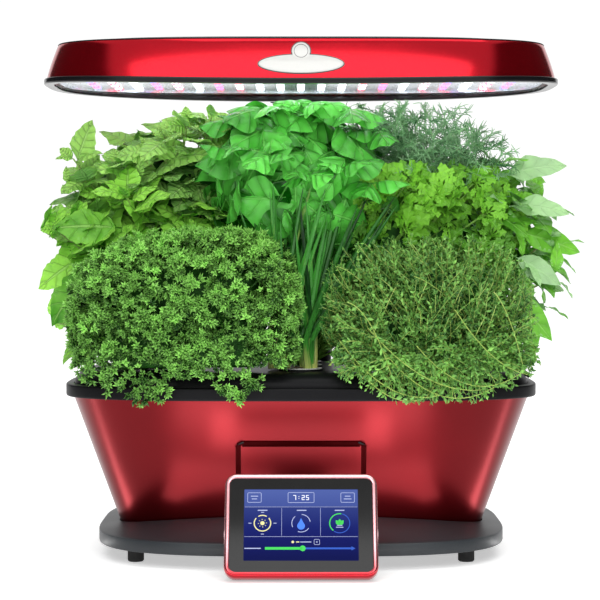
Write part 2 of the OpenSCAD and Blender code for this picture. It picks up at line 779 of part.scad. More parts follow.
module leds(kind) {
    translate([0, hood_y, tray_z - 1]) for (c = [-led_columns : led_columns], r = [-4 : 4])
        if (in_tray(c * led_pitch, r * led_row_pitch) && led_kind(c, r) == kind)
            translate([c * led_pitch, r * led_row_pitch, 0]) cylinder(r = led_r, h = 1, $fn = 16);
}

module white_leds() { color([1, 1, 0.97]) leds(0); }
module red_leds() { color([1, 0.25, 0.3]) leds(1); }
module blue_leds() { color([0.35, 0.4, 1]) leds(2); }

module light_lens() {
    color([0.9, 0.95, 1, 0.4]) translate([0, hood_y, lens_z]) linear_extrude(1.2)
        polygon(flat(oval(hood_a - 8.6, hood_b - 8.6, 0)));
}

module heat_sink() {
    color([0.7, 0.7, 0.72]) translate([-hood_a + 80, hood_y - 30, board_top]) {
        cube([110, 50, 2]);
        for (i = [0 : 9]) translate([i * 12, 0, 2]) cube([2, 50, 9]);
    }
}

module led_driver() {
    color([0.15, 0.4, 0.25]) translate([hood_a - 180, hood_y - 30, board_top]) {
        cube([100, 46, 1.6]);
        for (x = [10, 40, 72]) translate([x, 12, 1.6]) cylinder(r = 6, h = 9);
        translate([20, 26, 1.6]) cube([30, 14, 8]);
    }
}

// ---- screen ----

screen_z = 5;
bezel_step = 1;
screen_y = -front_reach + mid_y - bezel_step * sin(screen_lean);
glass_w = screen_w - 2 * bezel_w;
glass_h = screen_h - 2 * bezel_w + 2;
display_w = 86;
display_h = 54;
corner_r = 9;
arm_w = 46;
knuckle_r = 5;
screen_pin_r = 2;
hinge_y = screen_y + hinge_back * cos(screen_lean) + hinge_up * sin(screen_lean);
hinge_z = screen_z - hinge_back * sin(screen_lean) + hinge_up * cos(screen_lean);

// Draws its children in the screen's own frame: X across, Z up the glass, -Y out of the glass.
module on_screen() {
    translate([0, screen_y, screen_z]) rotate([-screen_lean, 0, 0]) children();
}

module upright_plate(w, h, r, y, t) {
    translate([0, y + t, screen_h / 2]) rotate([90, 0, 0]) linear_extrude(t) rounded_rect(w, h, r);
}

module screen_bezel() {
    color([0.75, 0.02, 0.06]) on_screen() difference() {
        union() {
            upright_plate(screen_w - 2 * bezel_step, screen_h - 2 * bezel_step, corner_r - bezel_step,
                0, bezel_step);
            upright_plate(screen_w, screen_h, corner_r, bezel_step, screen_t - bezel_step);
        }
        upright_plate(glass_w, glass_h, corner_r - bezel_w + 1, -1, screen_t - 1);
    }
}

module touch_glass() {
    color([0.03, 0.03, 0.035]) on_screen()
        upright_plate(glass_w - 0.4, glass_h - 0.4, corner_r - bezel_w + 0.8, 0.6, 1.4);
}

module display_panel() {
    color([0.1, 0.2, 0.6]) on_screen() upright_plate(display_w, display_h, 0.6, 2, 2.4);
}

module screen_board() {
    color([0.1, 0.35, 0.2]) on_screen() {
        upright_plate(display_w + 6, display_h + 4, 1, 4.4, 1.6);
        translate([-12, 6, screen_h / 2]) cube([24, screen_t - 8, 16]);
    }
}

module screen_back() {
    color([0.1, 0.1, 0.11]) on_screen() difference() {
        union() {
            upright_plate(screen_w - 8, screen_h - 22, corner_r - 3, screen_t, 3);
            translate([0, hinge_back, hinge_up]) rotate([0, 90, 0])
                cylinder(r = knuckle_r, h = arm_w + 20, center = true);
            translate([-arm_w / 2 - 10, screen_t + 2, hinge_up - knuckle_r])
                cube([arm_w + 20, hinge_back - screen_t - 2, 2 * knuckle_r]);
        }
        translate([0, hinge_back, hinge_up]) rotate([0, 90, 0])
            cylinder(r = screen_pin_r + 0.02, h = arm_w + 40, center = true);
        translate([-arm_w / 2 - fit, screen_t + 3.5, hinge_up - 15]) cube([arm_w + 2 * fit, 20, 30]);
    }
}

module screen_pin() {
    color([0.7, 0.7, 0.7]) translate([0, hinge_y, hinge_z]) rotate([0, 90, 0])
        cylinder(r = screen_pin_r, h = arm_w + 18, center = true);
}

arm_t = 5;
arm_z = edge_z + 2.4;

arm_foot_y = -base_front + 9;
arm_foot_l = 18;

module arm_slot() {
    translate([-arm_w / 2 - fit, -base_front - 5, arm_z - fit]) cube([arm_w + 2 * fit, 34, 40]);
    translate([-arm_w / 2 + 3 - fit, arm_foot_y - fit, base_z - 1])
        cube([arm_w - 6 + 2 * fit, arm_foot_l + 2 * fit, 30]);
}

module screen_arm() {
    back = mid_y - base_front + 28;
    color([0.12, 0.12, 0.13]) difference() {
        union() {
            translate([0, hinge_y, hinge_z]) rotate([0, 90, 0])
                cylinder(r = knuckle_r - 0.8, h = arm_w, center = true);
            translate([-arm_w / 2, hinge_y, arm_z]) cube([arm_w, back - hinge_y, arm_t]);
            translate([-arm_w / 2 + 3, mid_y + arm_foot_y, base_z + plate_t])
                cube([arm_w - 6, arm_foot_l, arm_z - base_z - plate_t + 1]);
        }
        translate([0, hinge_y, hinge_z]) rotate([0, 90, 0])
            cylinder(r = screen_pin_r + 0.05, h = arm_w + 2, center = true);
    }
}

// ---- herbs ----

leaf_top = hood_z - foliage_gap;
// Below this height the rows of herbs stay apart; above it the tall ones spread.
spread_z = leaf_top - 56;
// Leaves stay out of the water lid's sweep.
lid_sweep = 50;
back_row = [row_pitch * 0.55, row_pitch * 1.93];
bare_stem = pod_depth * 0.74;
top_row = [-hood_d * 0.42, hood_d * 0.41];
hang = lid_w * 0.6;
mint_reach = foliage_reach * 0.855;
front_reach_x = foliage_reach * 0.825;
column_gap = pod_pitch * 0.31;
middle_row = [-row_pitch * 0.48, row_pitch * 0.46];

leaf_sides = 24;

// A ring of a crown of leaves at share u of its height, from its lowest point to its highest.
function crown_ring(x, y, z, u, dip, seed) =
    let (s = sqrt(sin(180 * u)), up = (1 - cos(180 * u)) / 2)
    [for (i = [0 : leaf_sides - 1])
        let (t = 360 * i / leaf_sides,
            hollow = 0.5 + 0.25 * sin(5 * t + 900 * u + seed) + 0.25 * cos(7 * t - 700 * u + seed),
            k = s * (1 - dip * hollow))
        [(x[0] + x[1]) / 2 + k * (x[1] - x[0]) / 2 * signed_pow(cos(t), 0.75),
            (y[0] + y[1]) / 2 + k * (y[1] - y[0]) / 2 * signed_pow(sin(t), 0.75),
            z[0] + (z[1] - z[0]) * up]];

// The rings of a crown that fills x, y and z, between shares low and high of its height.
function crown(x, y, z, low = 0.1, high = 0.95, count = 8, dip = 0.14, seed = 0) =
    [for (i = [0 : count - 1]) crown_ring(x, y, z, low + (high - low) * i / (count - 1), dip, seed)];

// A stem that stands on a pod's sponge.
function stem_rings(pod, h, r = 3) =
    [for (z = [herb_z, herb_z + h]) [for (i = [0 : leaf_sides - 1]) let (t = 360 * i / leaf_sides)
        [pods[pod][0] + r * cos(t), pods[pod][1] + r * sin(t), z]]];

module herb(pod, tint, rings, bare = 5) {
    color(tint) at_middle() loft(concat(stem_rings(pod, bare), rings));
}

// A herb that hangs over the bowl's front edge, with its stem let in from below.
module hanging_herb(pod, tint, x, z) {
    edge = -rim_b - 3;
    over = rim_lap * 2.5;
    color(tint) at_middle() {
        loft(concat(crown(x, [edge - over, edge], [z[0], 2 * herb_z - z[0]], high = 0.5, count = 4),
            crown(x, [edge - over, -row_pitch * 0.54], [herb_z + 2, z[1]], low = 0.08, count = 9,
                seed = pod * 70)));
        translate([pods[pod][0], pods[pod][1], herb_z]) cylinder(r = 3, h = bare_stem * 0.77);
    }
}

module herb_mint() {
    herb(6, [0.25, 0.5, 0.2], concat(
        crown([-mint_reach, -column_gap], back_row, [herb_z + bare_stem, spread_z - 4], high = 0.72,
            count = 6),
        crown([-mint_reach, -foliage_reach * 0.38], [-row_pitch * 0.23, back_row[1]],
            [spread_z - bare_stem, leaf_top - foliage_gap], low = 0.3, count = 6, seed = 50)));
}

module herb_basil() {
    half = pod_pitch * 0.28;
    wide = foliage_reach * 0.34;
    herb(7, [0.2, 0.65, 0.15], concat(
        crown([-half, half], back_row, [herb_z + bare_stem, spread_z - 2], high = 0.82, count = 6, seed = 20),
        crown([-wide, wide * 0.92], top_row, [spread_z, leaf_top], count = 7, seed = 90)));
}

module herb_dill() {
    reach = pod_pitch * 1.47;
    herb(8, [0.35, 0.6, 0.35], concat(
        crown([column_gap + 2, reach], back_row, [herb_z + bare_stem, spread_z - 2], high = 0.82,
            count = 6, seed = 130),
        crown([foliage_reach * 0.335, reach], top_row, [spread_z, leaf_top], count = 7, seed = 10)));
}

module herb_thai_basil() {
    herb(5, [0.3, 0.7, 0.1], crown([pod_pitch * 1.04, foliage_reach], [1, middle_row[1]],
        [herb_z + lid_sweep, spread_z - 3], high = 0.9, count = 9, dip = 0), lid_sweep);
}

module herb_lemon_balm() {
    herb(3, [0.45, 0.7, 0.2], crown([-foliage_reach, -column_gap], middle_row,
        [herb_z + bare_stem, spread_z - 22], high = 0.9, count = 9, dip = 0));
}

module herb_flat_parsley() {
    herb(4, [0.25, 0.6, 0.1], crown([pod_pitch / 2, pod_pitch * 1.47], [middle_row[0], -1],
        [herb_z + lid_sweep, spread_z - 6], seed = 60));
}

module herb_curly_parsley() {
    hanging_herb(0, [0.15, 0.5, 0.12], [-front_reach_x, -pod_pitch * 0.125],
        [herb_z - hang - 1, leaf_top - 3 * bare_stem]);
}

module herb_thyme() {
    hanging_herb(2, [0.25, 0.45, 0.2], [pod_pitch * 0.17, front_reach_x],
        [herb_z - hang + 2, leaf_top - 3 * bare_stem - 4]);
}

chive_count = 15;

module herb_chives() {
    h = leaf_top - 2 * bare_stem - herb_z;
    color([0.1, 0.4, 0.15]) at_middle() for (i = [0 : chive_count - 1]) {
        x = 2.3 * sqrt(i + 0.3) * cos(137.5 * i);
        y = 2.3 * sqrt(i + 0.3) * sin(137.5 * i);
        translate([pods[1][0] + x, pods[1][1] + y, herb_z])
            blade(1.3, h * (0.92 + 0.08 * sin(77 * i)), 14 + 6 * x, -2 + 1.2 * y);
    }
}

// A round blade that bends outwards towards its tip.
module blade(r, h, dx, dy) {
    loft([for (k = [0, 0.3, 0.55, 0.75, 0.9, 1]) [for (i = [0 : 5])
        let (s = r * (1 - 0.85 * pow(k, 4)), b = pow(k, 5))
        [s * cos(60 * i) + dx * b, s * sin(60 * i) + dy * b, h * k]]]);
}

base_shell();
base_plate();
base_feet();
base_screws();
control_board();
power_inlet();
bowl_skin();
water_tank();
deck_band();
deck_skirt();
grow_deck();
lid_lugs();
port_lid();
port_lid_pin();
grow_baskets();
grow_sponges();
pod_labels();
pump_housing();
pump_impeller();
pump_strainer();
riser_tube();
float_guide();
float_body();
mast_socket();
mast_outer();
outer_collar();
release_button();
mast_middle();
middle_collar();
mast_inner();
hood_bracket();
hood_trim();
hood_band();
hood_cover();
hood_screws();
hood_badge();
reflector();
led_board();
white_leds();
red_leds();
blue_leds();
light_lens();
heat_sink();
led_driver();
screen_arm();
screen_pin();
screen_back();
screen_bezel();
touch_glass();
display_panel();
screen_board();
herb_mint();
herb_basil();
herb_dill();
herb_thai_basil();
herb_lemon_balm();
herb_flat_parsley();
herb_chives();
herb_curly_parsley();
herb_thyme();
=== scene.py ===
"""Looks of a countertop hydroponic garden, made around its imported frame.

Sizes in the code are in millimetres, and a mesh is brought to metres as it is made.
X runs along the hood, -Y is the front, and +Z runs up the mast.
"""

import json
import math

import bmesh
import bpy
import numpy as np
from mathutils import Euler, Matrix, Vector
from mathutils.noise import fractal

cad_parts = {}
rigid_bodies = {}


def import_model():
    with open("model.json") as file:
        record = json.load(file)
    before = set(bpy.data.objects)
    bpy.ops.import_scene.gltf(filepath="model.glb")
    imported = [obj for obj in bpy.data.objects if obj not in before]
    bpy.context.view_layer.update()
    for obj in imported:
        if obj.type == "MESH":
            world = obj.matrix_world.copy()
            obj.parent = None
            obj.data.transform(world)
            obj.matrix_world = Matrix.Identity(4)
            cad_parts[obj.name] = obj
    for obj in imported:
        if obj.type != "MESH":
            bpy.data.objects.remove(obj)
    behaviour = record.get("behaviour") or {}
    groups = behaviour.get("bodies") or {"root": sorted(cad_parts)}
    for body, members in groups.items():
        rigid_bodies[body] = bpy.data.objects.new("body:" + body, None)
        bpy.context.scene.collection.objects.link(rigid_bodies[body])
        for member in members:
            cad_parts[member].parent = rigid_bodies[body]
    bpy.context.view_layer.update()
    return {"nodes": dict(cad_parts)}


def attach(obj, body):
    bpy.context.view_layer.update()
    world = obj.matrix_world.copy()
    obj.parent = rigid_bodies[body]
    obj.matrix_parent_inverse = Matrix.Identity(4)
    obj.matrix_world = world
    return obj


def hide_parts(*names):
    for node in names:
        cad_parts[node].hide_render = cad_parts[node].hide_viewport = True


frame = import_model()

bl_info = {
    "name": "Hydroponic garden",
    "version": (1, 0, 0),
    "blender": (4, 5, 0),
    "location": "3D View > Sidebar > Garden",
    "description": "Builds a countertop herb garden with its hood, bowl, screen and herbs",
    "category": "Object",
}

MM = 0.001
MID_Y = 27.0  # the bowl's middle lies this far behind the origin
TURN = 2 * math.pi


# ---- node helpers ----


def add_node(tree, kind, inputs=(), **settings):
    """Adds a node, sets its properties, and fills or links its inputs by name or number."""
    node = tree.nodes.new(kind)
    for key, value in settings.items():
        setattr(node, key, value)
    for key, value in dict(inputs).items():
        feed(tree, node.inputs[key], value)
    return node


def feed(tree, socket, value):
    """Links a socket to a value that is a socket, or sets it."""
    if isinstance(value, bpy.types.NodeSocket):
        tree.links.new(value, socket)
    else:
        socket.default_value = value


def new_material(name, **sockets):
    """A material with its principled shader's sockets set, and that shader and its tree."""
    material = bpy.data.materials.new(name)
    material.use_nodes = True
    tree = material.node_tree
    shader = tree.nodes["Principled BSDF"]
    for key, value in sockets.items():
        shader.inputs[key.replace("_", " ")].default_value = value
    return material, tree, shader


def place(tree, scale=(1, 1, 1)):
    """Texture coordinates of the piece itself, stretched by a scale."""
    coordinates = add_node(tree, "ShaderNodeTexCoord").outputs["Object"]
    return add_node(tree, "ShaderNodeMapping", {0: coordinates, "Scale": scale}).outputs[0]


def noise(tree, scale, detail=3.0, stretch=(1, 1, 1)):
    """Noise on the piece's own coordinates, with a scale in waves per metre."""
    inputs = {"Vector": place(tree, stretch), "Scale": scale, "Detail": detail, "Roughness": 0.55}
    return add_node(tree, "ShaderNodeTexNoise", inputs).outputs["Fac"]


def ramp(tree, factor, *stops):
    """A colour ramp through (position, colour) stops."""
    node = add_node(tree, "ShaderNodeValToRGB", {0: factor})
    elements = node.color_ramp.elements
    while len(elements) < len(stops):
        elements.new(0.5)
    for element, (position, colour) in zip(elements, stops):
        element.position = position
        element.color = (*colour, 1.0) if len(colour) == 3 else colour
    return node.outputs[0]


def span(tree, value, low, high, start=0.0, end=1.0):
    """Maps a value from start..end to low..high."""
    node = add_node(tree, "ShaderNodeMapRange", {0: value, 1: start, 2: end, 3: low, 4: high})
    return node.outputs[0]


def mix(tree, factor, a, b):
    node = add_node(tree, "ShaderNodeMix", data_type="RGBA")
    feed(tree, node.inputs["Factor"], factor)
    feed(tree, node.inputs["A"], a)
    feed(tree, node.inputs["B"], b)
    return node.outputs["Result"]


def compute(tree, how, a, b=0.0):
    """The result of one operation on two numbers."""
    return add_node(tree, "ShaderNodeMath", {0: a, 1: b}, operation=how).outputs[0]


def bump(tree, height, strength, distance):
    inputs = {"Height": height, "Strength": strength, "Distance": distance}
    return add_node(tree, "ShaderNodeBump", inputs).outputs[0]


def dress(tree, shader, colour, roughness, relief=None):
    """Feeds a shader its colour, its roughness and, where there is one, its relief."""
    feed(tree, shader.inputs["Base Color"], colour)
    feed(tree, shader.inputs["Roughness"], roughness)
    if relief is not None:
        feed(tree, shader.inputs["Normal"], relief)


def glow(tree, shader, colour, strength):
    feed(tree, shader.inputs["Emission Color"], colour)
    shader.inputs["Emission Strength"].default_value = strength


# ---- materials ----


def moulded(name, dark, light, grain=900.0, rough=(0.3, 0.45), depth=0.12, patch=14.0, **sockets):
    """Moulded plastic: a fine grain, soft patches of tone and uneven gloss."""
    material, tree, shader = new_material(name, **sockets)
    patches = noise(tree, patch, 4)
    fine = noise(tree, grain, 2)
    colour = ramp(tree, mix(tree, 0.3, patches, fine), (0.3, dark), (0.7, light))
    dress(tree, shader, colour, span(tree, patches, *rough, 0.25, 0.75), bump(tree, fine, depth, 0.0004))
    return material


def metallic_paint(name, deep, bright, rough=0.3, coat=0.25, clear=0.25):
    """Red paint with fine flakes under a clear coat."""
    material, tree, shader = new_material(name, Metallic=0.88, Coat_Weight=clear)
    shader.inputs["Coat Roughness"].default_value = coat
    cells = add_node(tree, "ShaderNodeTexVoronoi", {"Vector": place(tree), "Scale": 2600.0})
    flakes = span(tree, cells.outputs["Distance"], 0.0, 1.0, 0.0, 0.7)
    cloud = noise(tree, 9.0, 3)
    colour = ramp(tree, mix(tree, 0.25, cloud, flakes), (0.3, deep), (0.75, bright))
    dress(tree, shader, colour, span(tree, cloud, rough - 0.03, rough + 0.03, 0.3, 0.7),
          bump(tree, cells.outputs["Distance"], 0.02, 0.0002))
    return material


def red_frame_painted_highlight(name, low, high):
    """Polished red metal, deep red at the foot of the screen and running up to a pale painted highlight above
    it.
    """
    material, tree, shader = new_material(name, Metallic=0.9, Coat_Weight=0.4)
    z = add_node(tree, "ShaderNodeSeparateXYZ", {0: place(tree)}).outputs[2]
    # The ramp from deep red low down to pale pink higher up is a painted highlight of the frame's upper edge.
    colour = ramp(tree, span(tree, z, 0.0, 1.0, 0.004, 0.03), (0.1, low), (0.9, high))
    dress(tree, shader, colour, span(tree, noise(tree, 30.0, 3), 0.1, 0.18, 0.3, 0.7))
    return material


def brushed_metal(name, dark, light, rough=0.3, stretch=(1, 1, 0.02)):
    """Metal drawn along its length, with streaks that follow the draw."""
    material, tree, shader = new_material(name, Metallic=1.0)
    streaks = noise(tree, 1400.0, 3, stretch)
    colour = ramp(tree, streaks, (0.3, dark), (0.7, light))
    dress(tree, shader, colour, span(tree, streaks, rough - 0.08, rough + 0.08, 0.3, 0.7),
          bump(tree, streaks, 0.08, 0.0003))
    return material


def circuit_board(name):
    """A green board with a net of copper runs."""
    material, tree, shader = new_material(name, Coat_Weight=0.3)
    inputs = {"Vector": place(tree), "Scale": 160.0, "Mortar Size": 0.04}
    runs = add_node(tree, "ShaderNodeTexBrick", inputs, offset=0.37).outputs["Fac"]
    board = ramp(tree, noise(tree, 60.0, 2), (0.3, (0.01, 0.09, 0.03)), (0.7, (0.02, 0.14, 0.05)))
    colour = mix(tree, runs, board, (0.05, 0.26, 0.1, 1))
    dress(tree, shader, colour, span(tree, runs, 0.45, 0.3), bump(tree, runs, 0.2, 0.0002))
    return material


def glowing(name, colour, strength, second):
    """A face that glows in soft clouds of two close tones."""
    dim = tuple(0.25 * c for c in colour)
    material, tree, shader = new_material(name, Base_Color=(*dim, 1), Roughness=0.3, Specular_IOR_Level=0.08)
    glow(tree, shader, ramp(tree, noise(tree, 700.0, 1), (0.2, second), (0.6, colour)), strength)
    return material


def screen_glow(name, bottom, top, *stops):
    """A lit picture whose colour runs through stops from bottom to top, in metres."""
    material, tree, shader = new_material(name, Roughness=0.3, Specular_IOR_Level=0.04)
    z = add_node(tree, "ShaderNodeSeparateXYZ", {0: place(tree)}).outputs[2]
    colour = ramp(tree, span(tree, z, 0.0, 1.0, bottom, top), *stops)
    feed(tree, shader.inputs["Base Color"], mix(tree, 0.8, colour, (0, 0, 0, 1)))
    glow(tree, shader, colour, 0.62)
    return material


# ---- mesh helpers ----


def mesh_of(name, points, faces, edges=()):
    """A mesh from points in millimetres."""
    mesh = bpy.data.meshes.new(name)
    corners = (np.asarray(points, float) * MM).tolist()
    mesh.from_pydata(corners, [tuple(map(int, e)) for e in edges], [list(map(int, f)) for f in faces])
    return mesh


def make_piece(name, points, faces, material, body, **rest):
    """A piece from points in millimetres: meshed, finished, and set to ride on a body."""
    mesh = mesh_of(name, points, faces)
    mesh.validate()
    return adopt(name, mesh, material, body, **rest)


def adopt(name, mesh, material, body, replaces=(), slot=None, sharp=35.0, smooth=True):
    """Links a mesh as a piece, sets it to ride on a body, and hides the CAD parts that it stands for."""
    mesh.name = name
    if material is not None:
        mesh.materials.clear()
        mesh.materials.append(material)
    if smooth:
        mesh.shade_smooth()
        mesh.set_sharp_from_angle(angle=math.radians(sharp))
    piece = bpy.data.objects.new(name, mesh)
    bpy.context.scene.collection.objects.link(piece)
    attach(piece, body)
    if replaces:
        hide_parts(*replaces)
    return piece


def point_outwards(mesh):
    """Merges doubles and turns every face outwards."""
    work = bmesh.new()
    work.from_mesh(mesh)
    bmesh.ops.remove_doubles(work, verts=work.verts, dist=1e-7)
    bmesh.ops.recalc_face_normals(work, faces=work.faces)
    work.to_mesh(mesh)
    work.free()


def signed_power(v, p):
    return np.sign(v) * np.abs(v) ** p


def even_angles(a, b, n, count):
    """Angles that space points evenly along a squarish oval."""
    t = np.linspace(0, TURN, 6001)
    x, y = a * signed_power(np.cos(t), 2 / n), b * signed_power(np.sin(t), 2 / n)
    along = np.concatenate([[0], np.cumsum(np.hypot(np.diff(x), np.diff(y)))])
    return np.interp(np.linspace(0, along[-1], count, endpoint=False), along, t)


SQUARENESS = 3.4
ROUND = even_angles(190, 95, SQUARENESS, 240)


def oval(a, b, z, angles=ROUND, n=SQUARENESS):
    """A squarish oval of half sizes a and b about the bowl's middle, at height z."""
    x = a * signed_power(np.cos(angles), 2 / n)
    y = b * signed_power(np.sin(angles), 2 / n) + MID_Y
    return np.stack([x, y, np.broadcast_to(z, x.shape)], 1)


def bend(start, middle, end, t):
    """A point of the curve that leaves start towards middle and comes from there to end."""
    return (1 - t) ** 2 * start + 2 * t * (1 - t) * middle + t * t * end


def rounded(corners, steps=4):
    """Rounds each corner (x, y, radius) of a closed outline."""
    out = []
    count = len(corners)
    for i, (x, y, r) in enumerate(corners):
        here = np.array([x, y], float)
        before = np.array(corners[i - 1][:2], float) - here
        after = np.array(corners[(i + 1) % count][:2], float) - here
        lb, la = np.linalg.norm(before), np.linalg.norm(after)
        cut = min(r, 0.45 * lb, 0.45 * la)
        if cut < 1e-6:
            out.append(here)
            continue
        p, q = here + before / lb * cut, here + after / la * cut
        out += [bend(p, here, q, k / steps) for k in range(steps + 1)]
    return np.array(out)


def ring_faces(levels, count, closed):
    """Quads between rings of equal count; closed joins the last ring to the first."""
    faces = []
    for k in range(levels if closed else levels - 1):
        a, b = k * count, ((k + 1) % levels) * count
        for i in range(count):
            j = (i + 1) % count
            faces.append((a + i, a + j, b + j, b + i))
    return faces


def tube_faces(levels, count):
    """Quads between rings of equal count, and a face over each end."""
    last = (levels - 1) * count
    ends = [tuple(range(count))[::-1], tuple(range(last, last + count))]
    return ring_faces(levels, count, False) + ends


def flipped(faces):
    return [tuple(reversed(f)) for f in faces]


def level(outline, z):
    """A flat outline's points at height z."""
    return np.column_stack([outline, np.full(len(outline), z)])


def loft(name, rings, material, body, closed=False, **rest):
    """A skin through rings from the lowest to the highest, or a closed hoop."""
    count = len(rings[0])
    faces = ring_faces(len(rings), count, True) if closed else tube_faces(len(rings), count)
    piece = make_piece(name, np.concatenate(rings), faces, material, body, **rest)
    point_outwards(piece.data)
    return piece


def oval_hoop(a, b, section, lift=None):
    """Rings of a section, given as (inset, z, corner radius), carried round an oval."""
    rings = [oval(a - inset, b - inset, z) for inset, z in rounded(section)]
    if lift:
        for ring in rings:
            ring[:, 2] += lift(ring)
    return rings


def prism(outline, low, high):
    """Points and faces of a flat outline drawn up from low to high."""
    return np.concatenate([level(outline, z) for z in (low, high)]), tube_faces(2, len(outline))


def joined(parts):
    """One mesh's points and faces from several."""
    points, faces, start = [], [], 0
    for p, f in parts:
        points.append(np.asarray(p, float))
        faces += [tuple(i + start for i in face) for face in f]
        start += len(p)
    return np.concatenate(points), faces


def ellipse(a, b, x=0.0, y=0.0, count=72):
    t = np.arange(count) * TURN / count
    return np.column_stack([x + a * np.cos(t), y + b * np.sin(t)])


def circle(r, count=32, x=0.0, y=0.0):
    return ellipse(r, r, x, y, count)


def box(x0, y0, x1, y1):
    """The four corners of a flat rectangle."""
    return [(x0, y0), (x1, y0), (x1, y1), (x0, y1)]


def stadium(w, d, steps=16):
    """A bar with round ends, w long and d wide."""
    t = np.linspace(-math.pi / 2, math.pi / 2, steps)
    half = np.column_stack([(w - d) / 2 + d / 2 * np.cos(t), d / 2 * np.sin(t)])
    return np.concatenate([half, -half])


def rounded_rect(w, h, r, steps=8):
    corners = [(w / 2 - r, -h / 2 + r, -0.25), (w / 2 - r, h / 2 - r, 0.0),
               (-w / 2 + r, h / 2 - r, 0.25), (-w / 2 + r, -h / 2 + r, 0.5)]
    out = []
    for x, y, start in corners:
        t = np.linspace(start, start + 0.25, steps) * TURN
        out.append(np.column_stack([x + r * np.cos(t), y + r * np.sin(t)]))
    return np.concatenate(out)


def carve(piece, cutters):
    """Cuts prisms out of a piece, with the cutters removed afterwards."""
    mesh = mesh_of("cutter", *joined(cutters))
    point_outwards(mesh)
    cutter = bpy.data.objects.new("cutter", mesh)
    bpy.context.scene.collection.objects.link(cutter)
    cut = piece.modifiers.new("cut", "BOOLEAN")
    cut.operation, cut.solver, cut.object = "DIFFERENCE", "EXACT", cutter
    settle(piece)
    bpy.data.objects.remove(cutter)
    bpy.data.meshes.remove(mesh)


def settle(piece, sharp=35.0):
    """Turns a piece's modifiers into its plain mesh."""
    graph = bpy.context.evaluated_depsgraph_get()
    made = bpy.data.meshes.new_from_object(piece.evaluated_get(graph), depsgraph=graph)
    old, name = piece.data, piece.data.name
    piece.modifiers.clear()
    piece.data = made
    bpy.data.meshes.remove(old)
    made.name = name
    made.shade_smooth()
    made.set_sharp_from_angle(angle=math.radians(sharp))


# ---- geometry node helpers ----


def new_tree(name, **sockets):
    """A geometry tree with named inputs, given as NAME=(socket type, default)."""
    tree = bpy.data.node_groups.new(name, "GeometryNodeTree")
    tree.interface.new_socket("Geometry", in_out="INPUT", socket_type="NodeSocketGeometry")
    tree.interface.new_socket("Geometry", in_out="OUTPUT", socket_type="NodeSocketGeometry")
    for label, (kind, value) in sockets.items():
        kind = "NodeSocket" + kind
        socket = tree.interface.new_socket(label.replace("_", " "), in_out="INPUT", socket_type=kind)
        if value is not None:
            socket.default_value = value
    return tree, tree.nodes.new("NodeGroupInput"), tree.nodes.new("NodeGroupOutput")


def finish_tree(tree, geometry, sink, material):
    """Ends a tree in Realize Instances and Set Material."""
    real = add_node(tree, "GeometryNodeRealizeInstances", {0: geometry})
    painted = add_node(tree, "GeometryNodeSetMaterial", {0: real.outputs[0], "Material": material})
    tree.links.new(painted.outputs[0], sink.inputs[0])


def grow(name, source, tree, values, body, **rest):
    """Runs a tree on a source mesh and keeps the result as a plain piece."""
    host = bpy.data.objects.new("host", source)
    bpy.context.scene.collection.objects.link(host)
    maker = host.modifiers.new("make", "NODES")
    maker.node_group = tree
    for item in tree.interface.items_tree:
        if item.in_out == "INPUT" and item.name in values:
            maker[item.identifier] = values[item.name]
    graph = bpy.context.evaluated_depsgraph_get()
    mesh = bpy.data.meshes.new_from_object(host.evaluated_get(graph), depsgraph=graph)
    host.modifiers.clear()
    bpy.data.objects.remove(host)
    return adopt(name, mesh, None, body, **rest)


def write_attribute(mesh, label, values):
    """Gives each point of a mesh a number, a whole number or a direction."""
    values = np.asarray(values)
    kind, key, form = "FLOAT", "value", np.float32
    if values.ndim == 2:
        kind, key = "FLOAT_VECTOR", "vector"
    elif values.dtype.kind == "i":
        kind, form = "INT", np.int32
    layer = mesh.attributes.new(label, kind, "POINT")
    layer.data.foreach_set(key, values.astype(form).ravel())


def seed_mesh(points, edges=(), **attributes):
    """A bare mesh of points in millimetres that carries attributes for a tree."""
    mesh = mesh_of("seeds", points, [], edges)
    for label, values in attributes.items():
        write_attribute(mesh, label, values)
    return mesh


def attribute_in(tree, label, kind="FLOAT"):
    node = add_node(tree, "GeometryNodeInputNamedAttribute", data_type=kind)
    node.inputs["Name"].default_value = label
    return node.outputs["Attribute"]


def spread_tree():
    """Puts one of a collection's shapes on each point, turned and sized by its attributes."""
    sockets = {"Shapes": ("Collection", None), "Size": ("Float", 1.0), "Size_Spread": ("Float", 0.0),
               "Seed": ("Int", 1), "Material": ("Material", None)}
    tree, source, sink = new_tree("spread shapes", **sockets)
    inputs = {"Collection": source.outputs["Shapes"], "Separate Children": True, "Reset Children": True}
    shapes = add_node(tree, "GeometryNodeCollectionInfo", inputs)
    turn = add_node(tree, "FunctionNodeEulerToRotation", {0: attribute_in(tree, "turn", "FLOAT_VECTOR")})
    spread = source.outputs["Size Spread"]
    change = add_node(tree, "FunctionNodeRandomValue", data_type="FLOAT")
    feed(tree, change.inputs[2], compute(tree, "SUBTRACT", 1.0, spread))
    feed(tree, change.inputs[3], compute(tree, "ADD", 1.0, spread))
    feed(tree, change.inputs["Seed"], source.outputs["Seed"])
    size = compute(tree, "MULTIPLY", attribute_in(tree, "size"), source.outputs["Size"])
    scale = compute(tree, "MULTIPLY", size, change.outputs[1])
    points = add_node(tree, "GeometryNodeMeshToPoints", {0: source.outputs[0]})
    inputs = {"Points": points.outputs[0], "Instance": shapes.outputs[0], "Pick Instance": True,
              "Instance Index": attribute_in(tree, "kind", "INT"), "Rotation": turn.outputs[0],
              "Scale": scale}
    placed = add_node(tree, "GeometryNodeInstanceOnPoints", inputs)
    finish_tree(tree, placed.outputs[0], sink, source.outputs["Material"])
    return tree


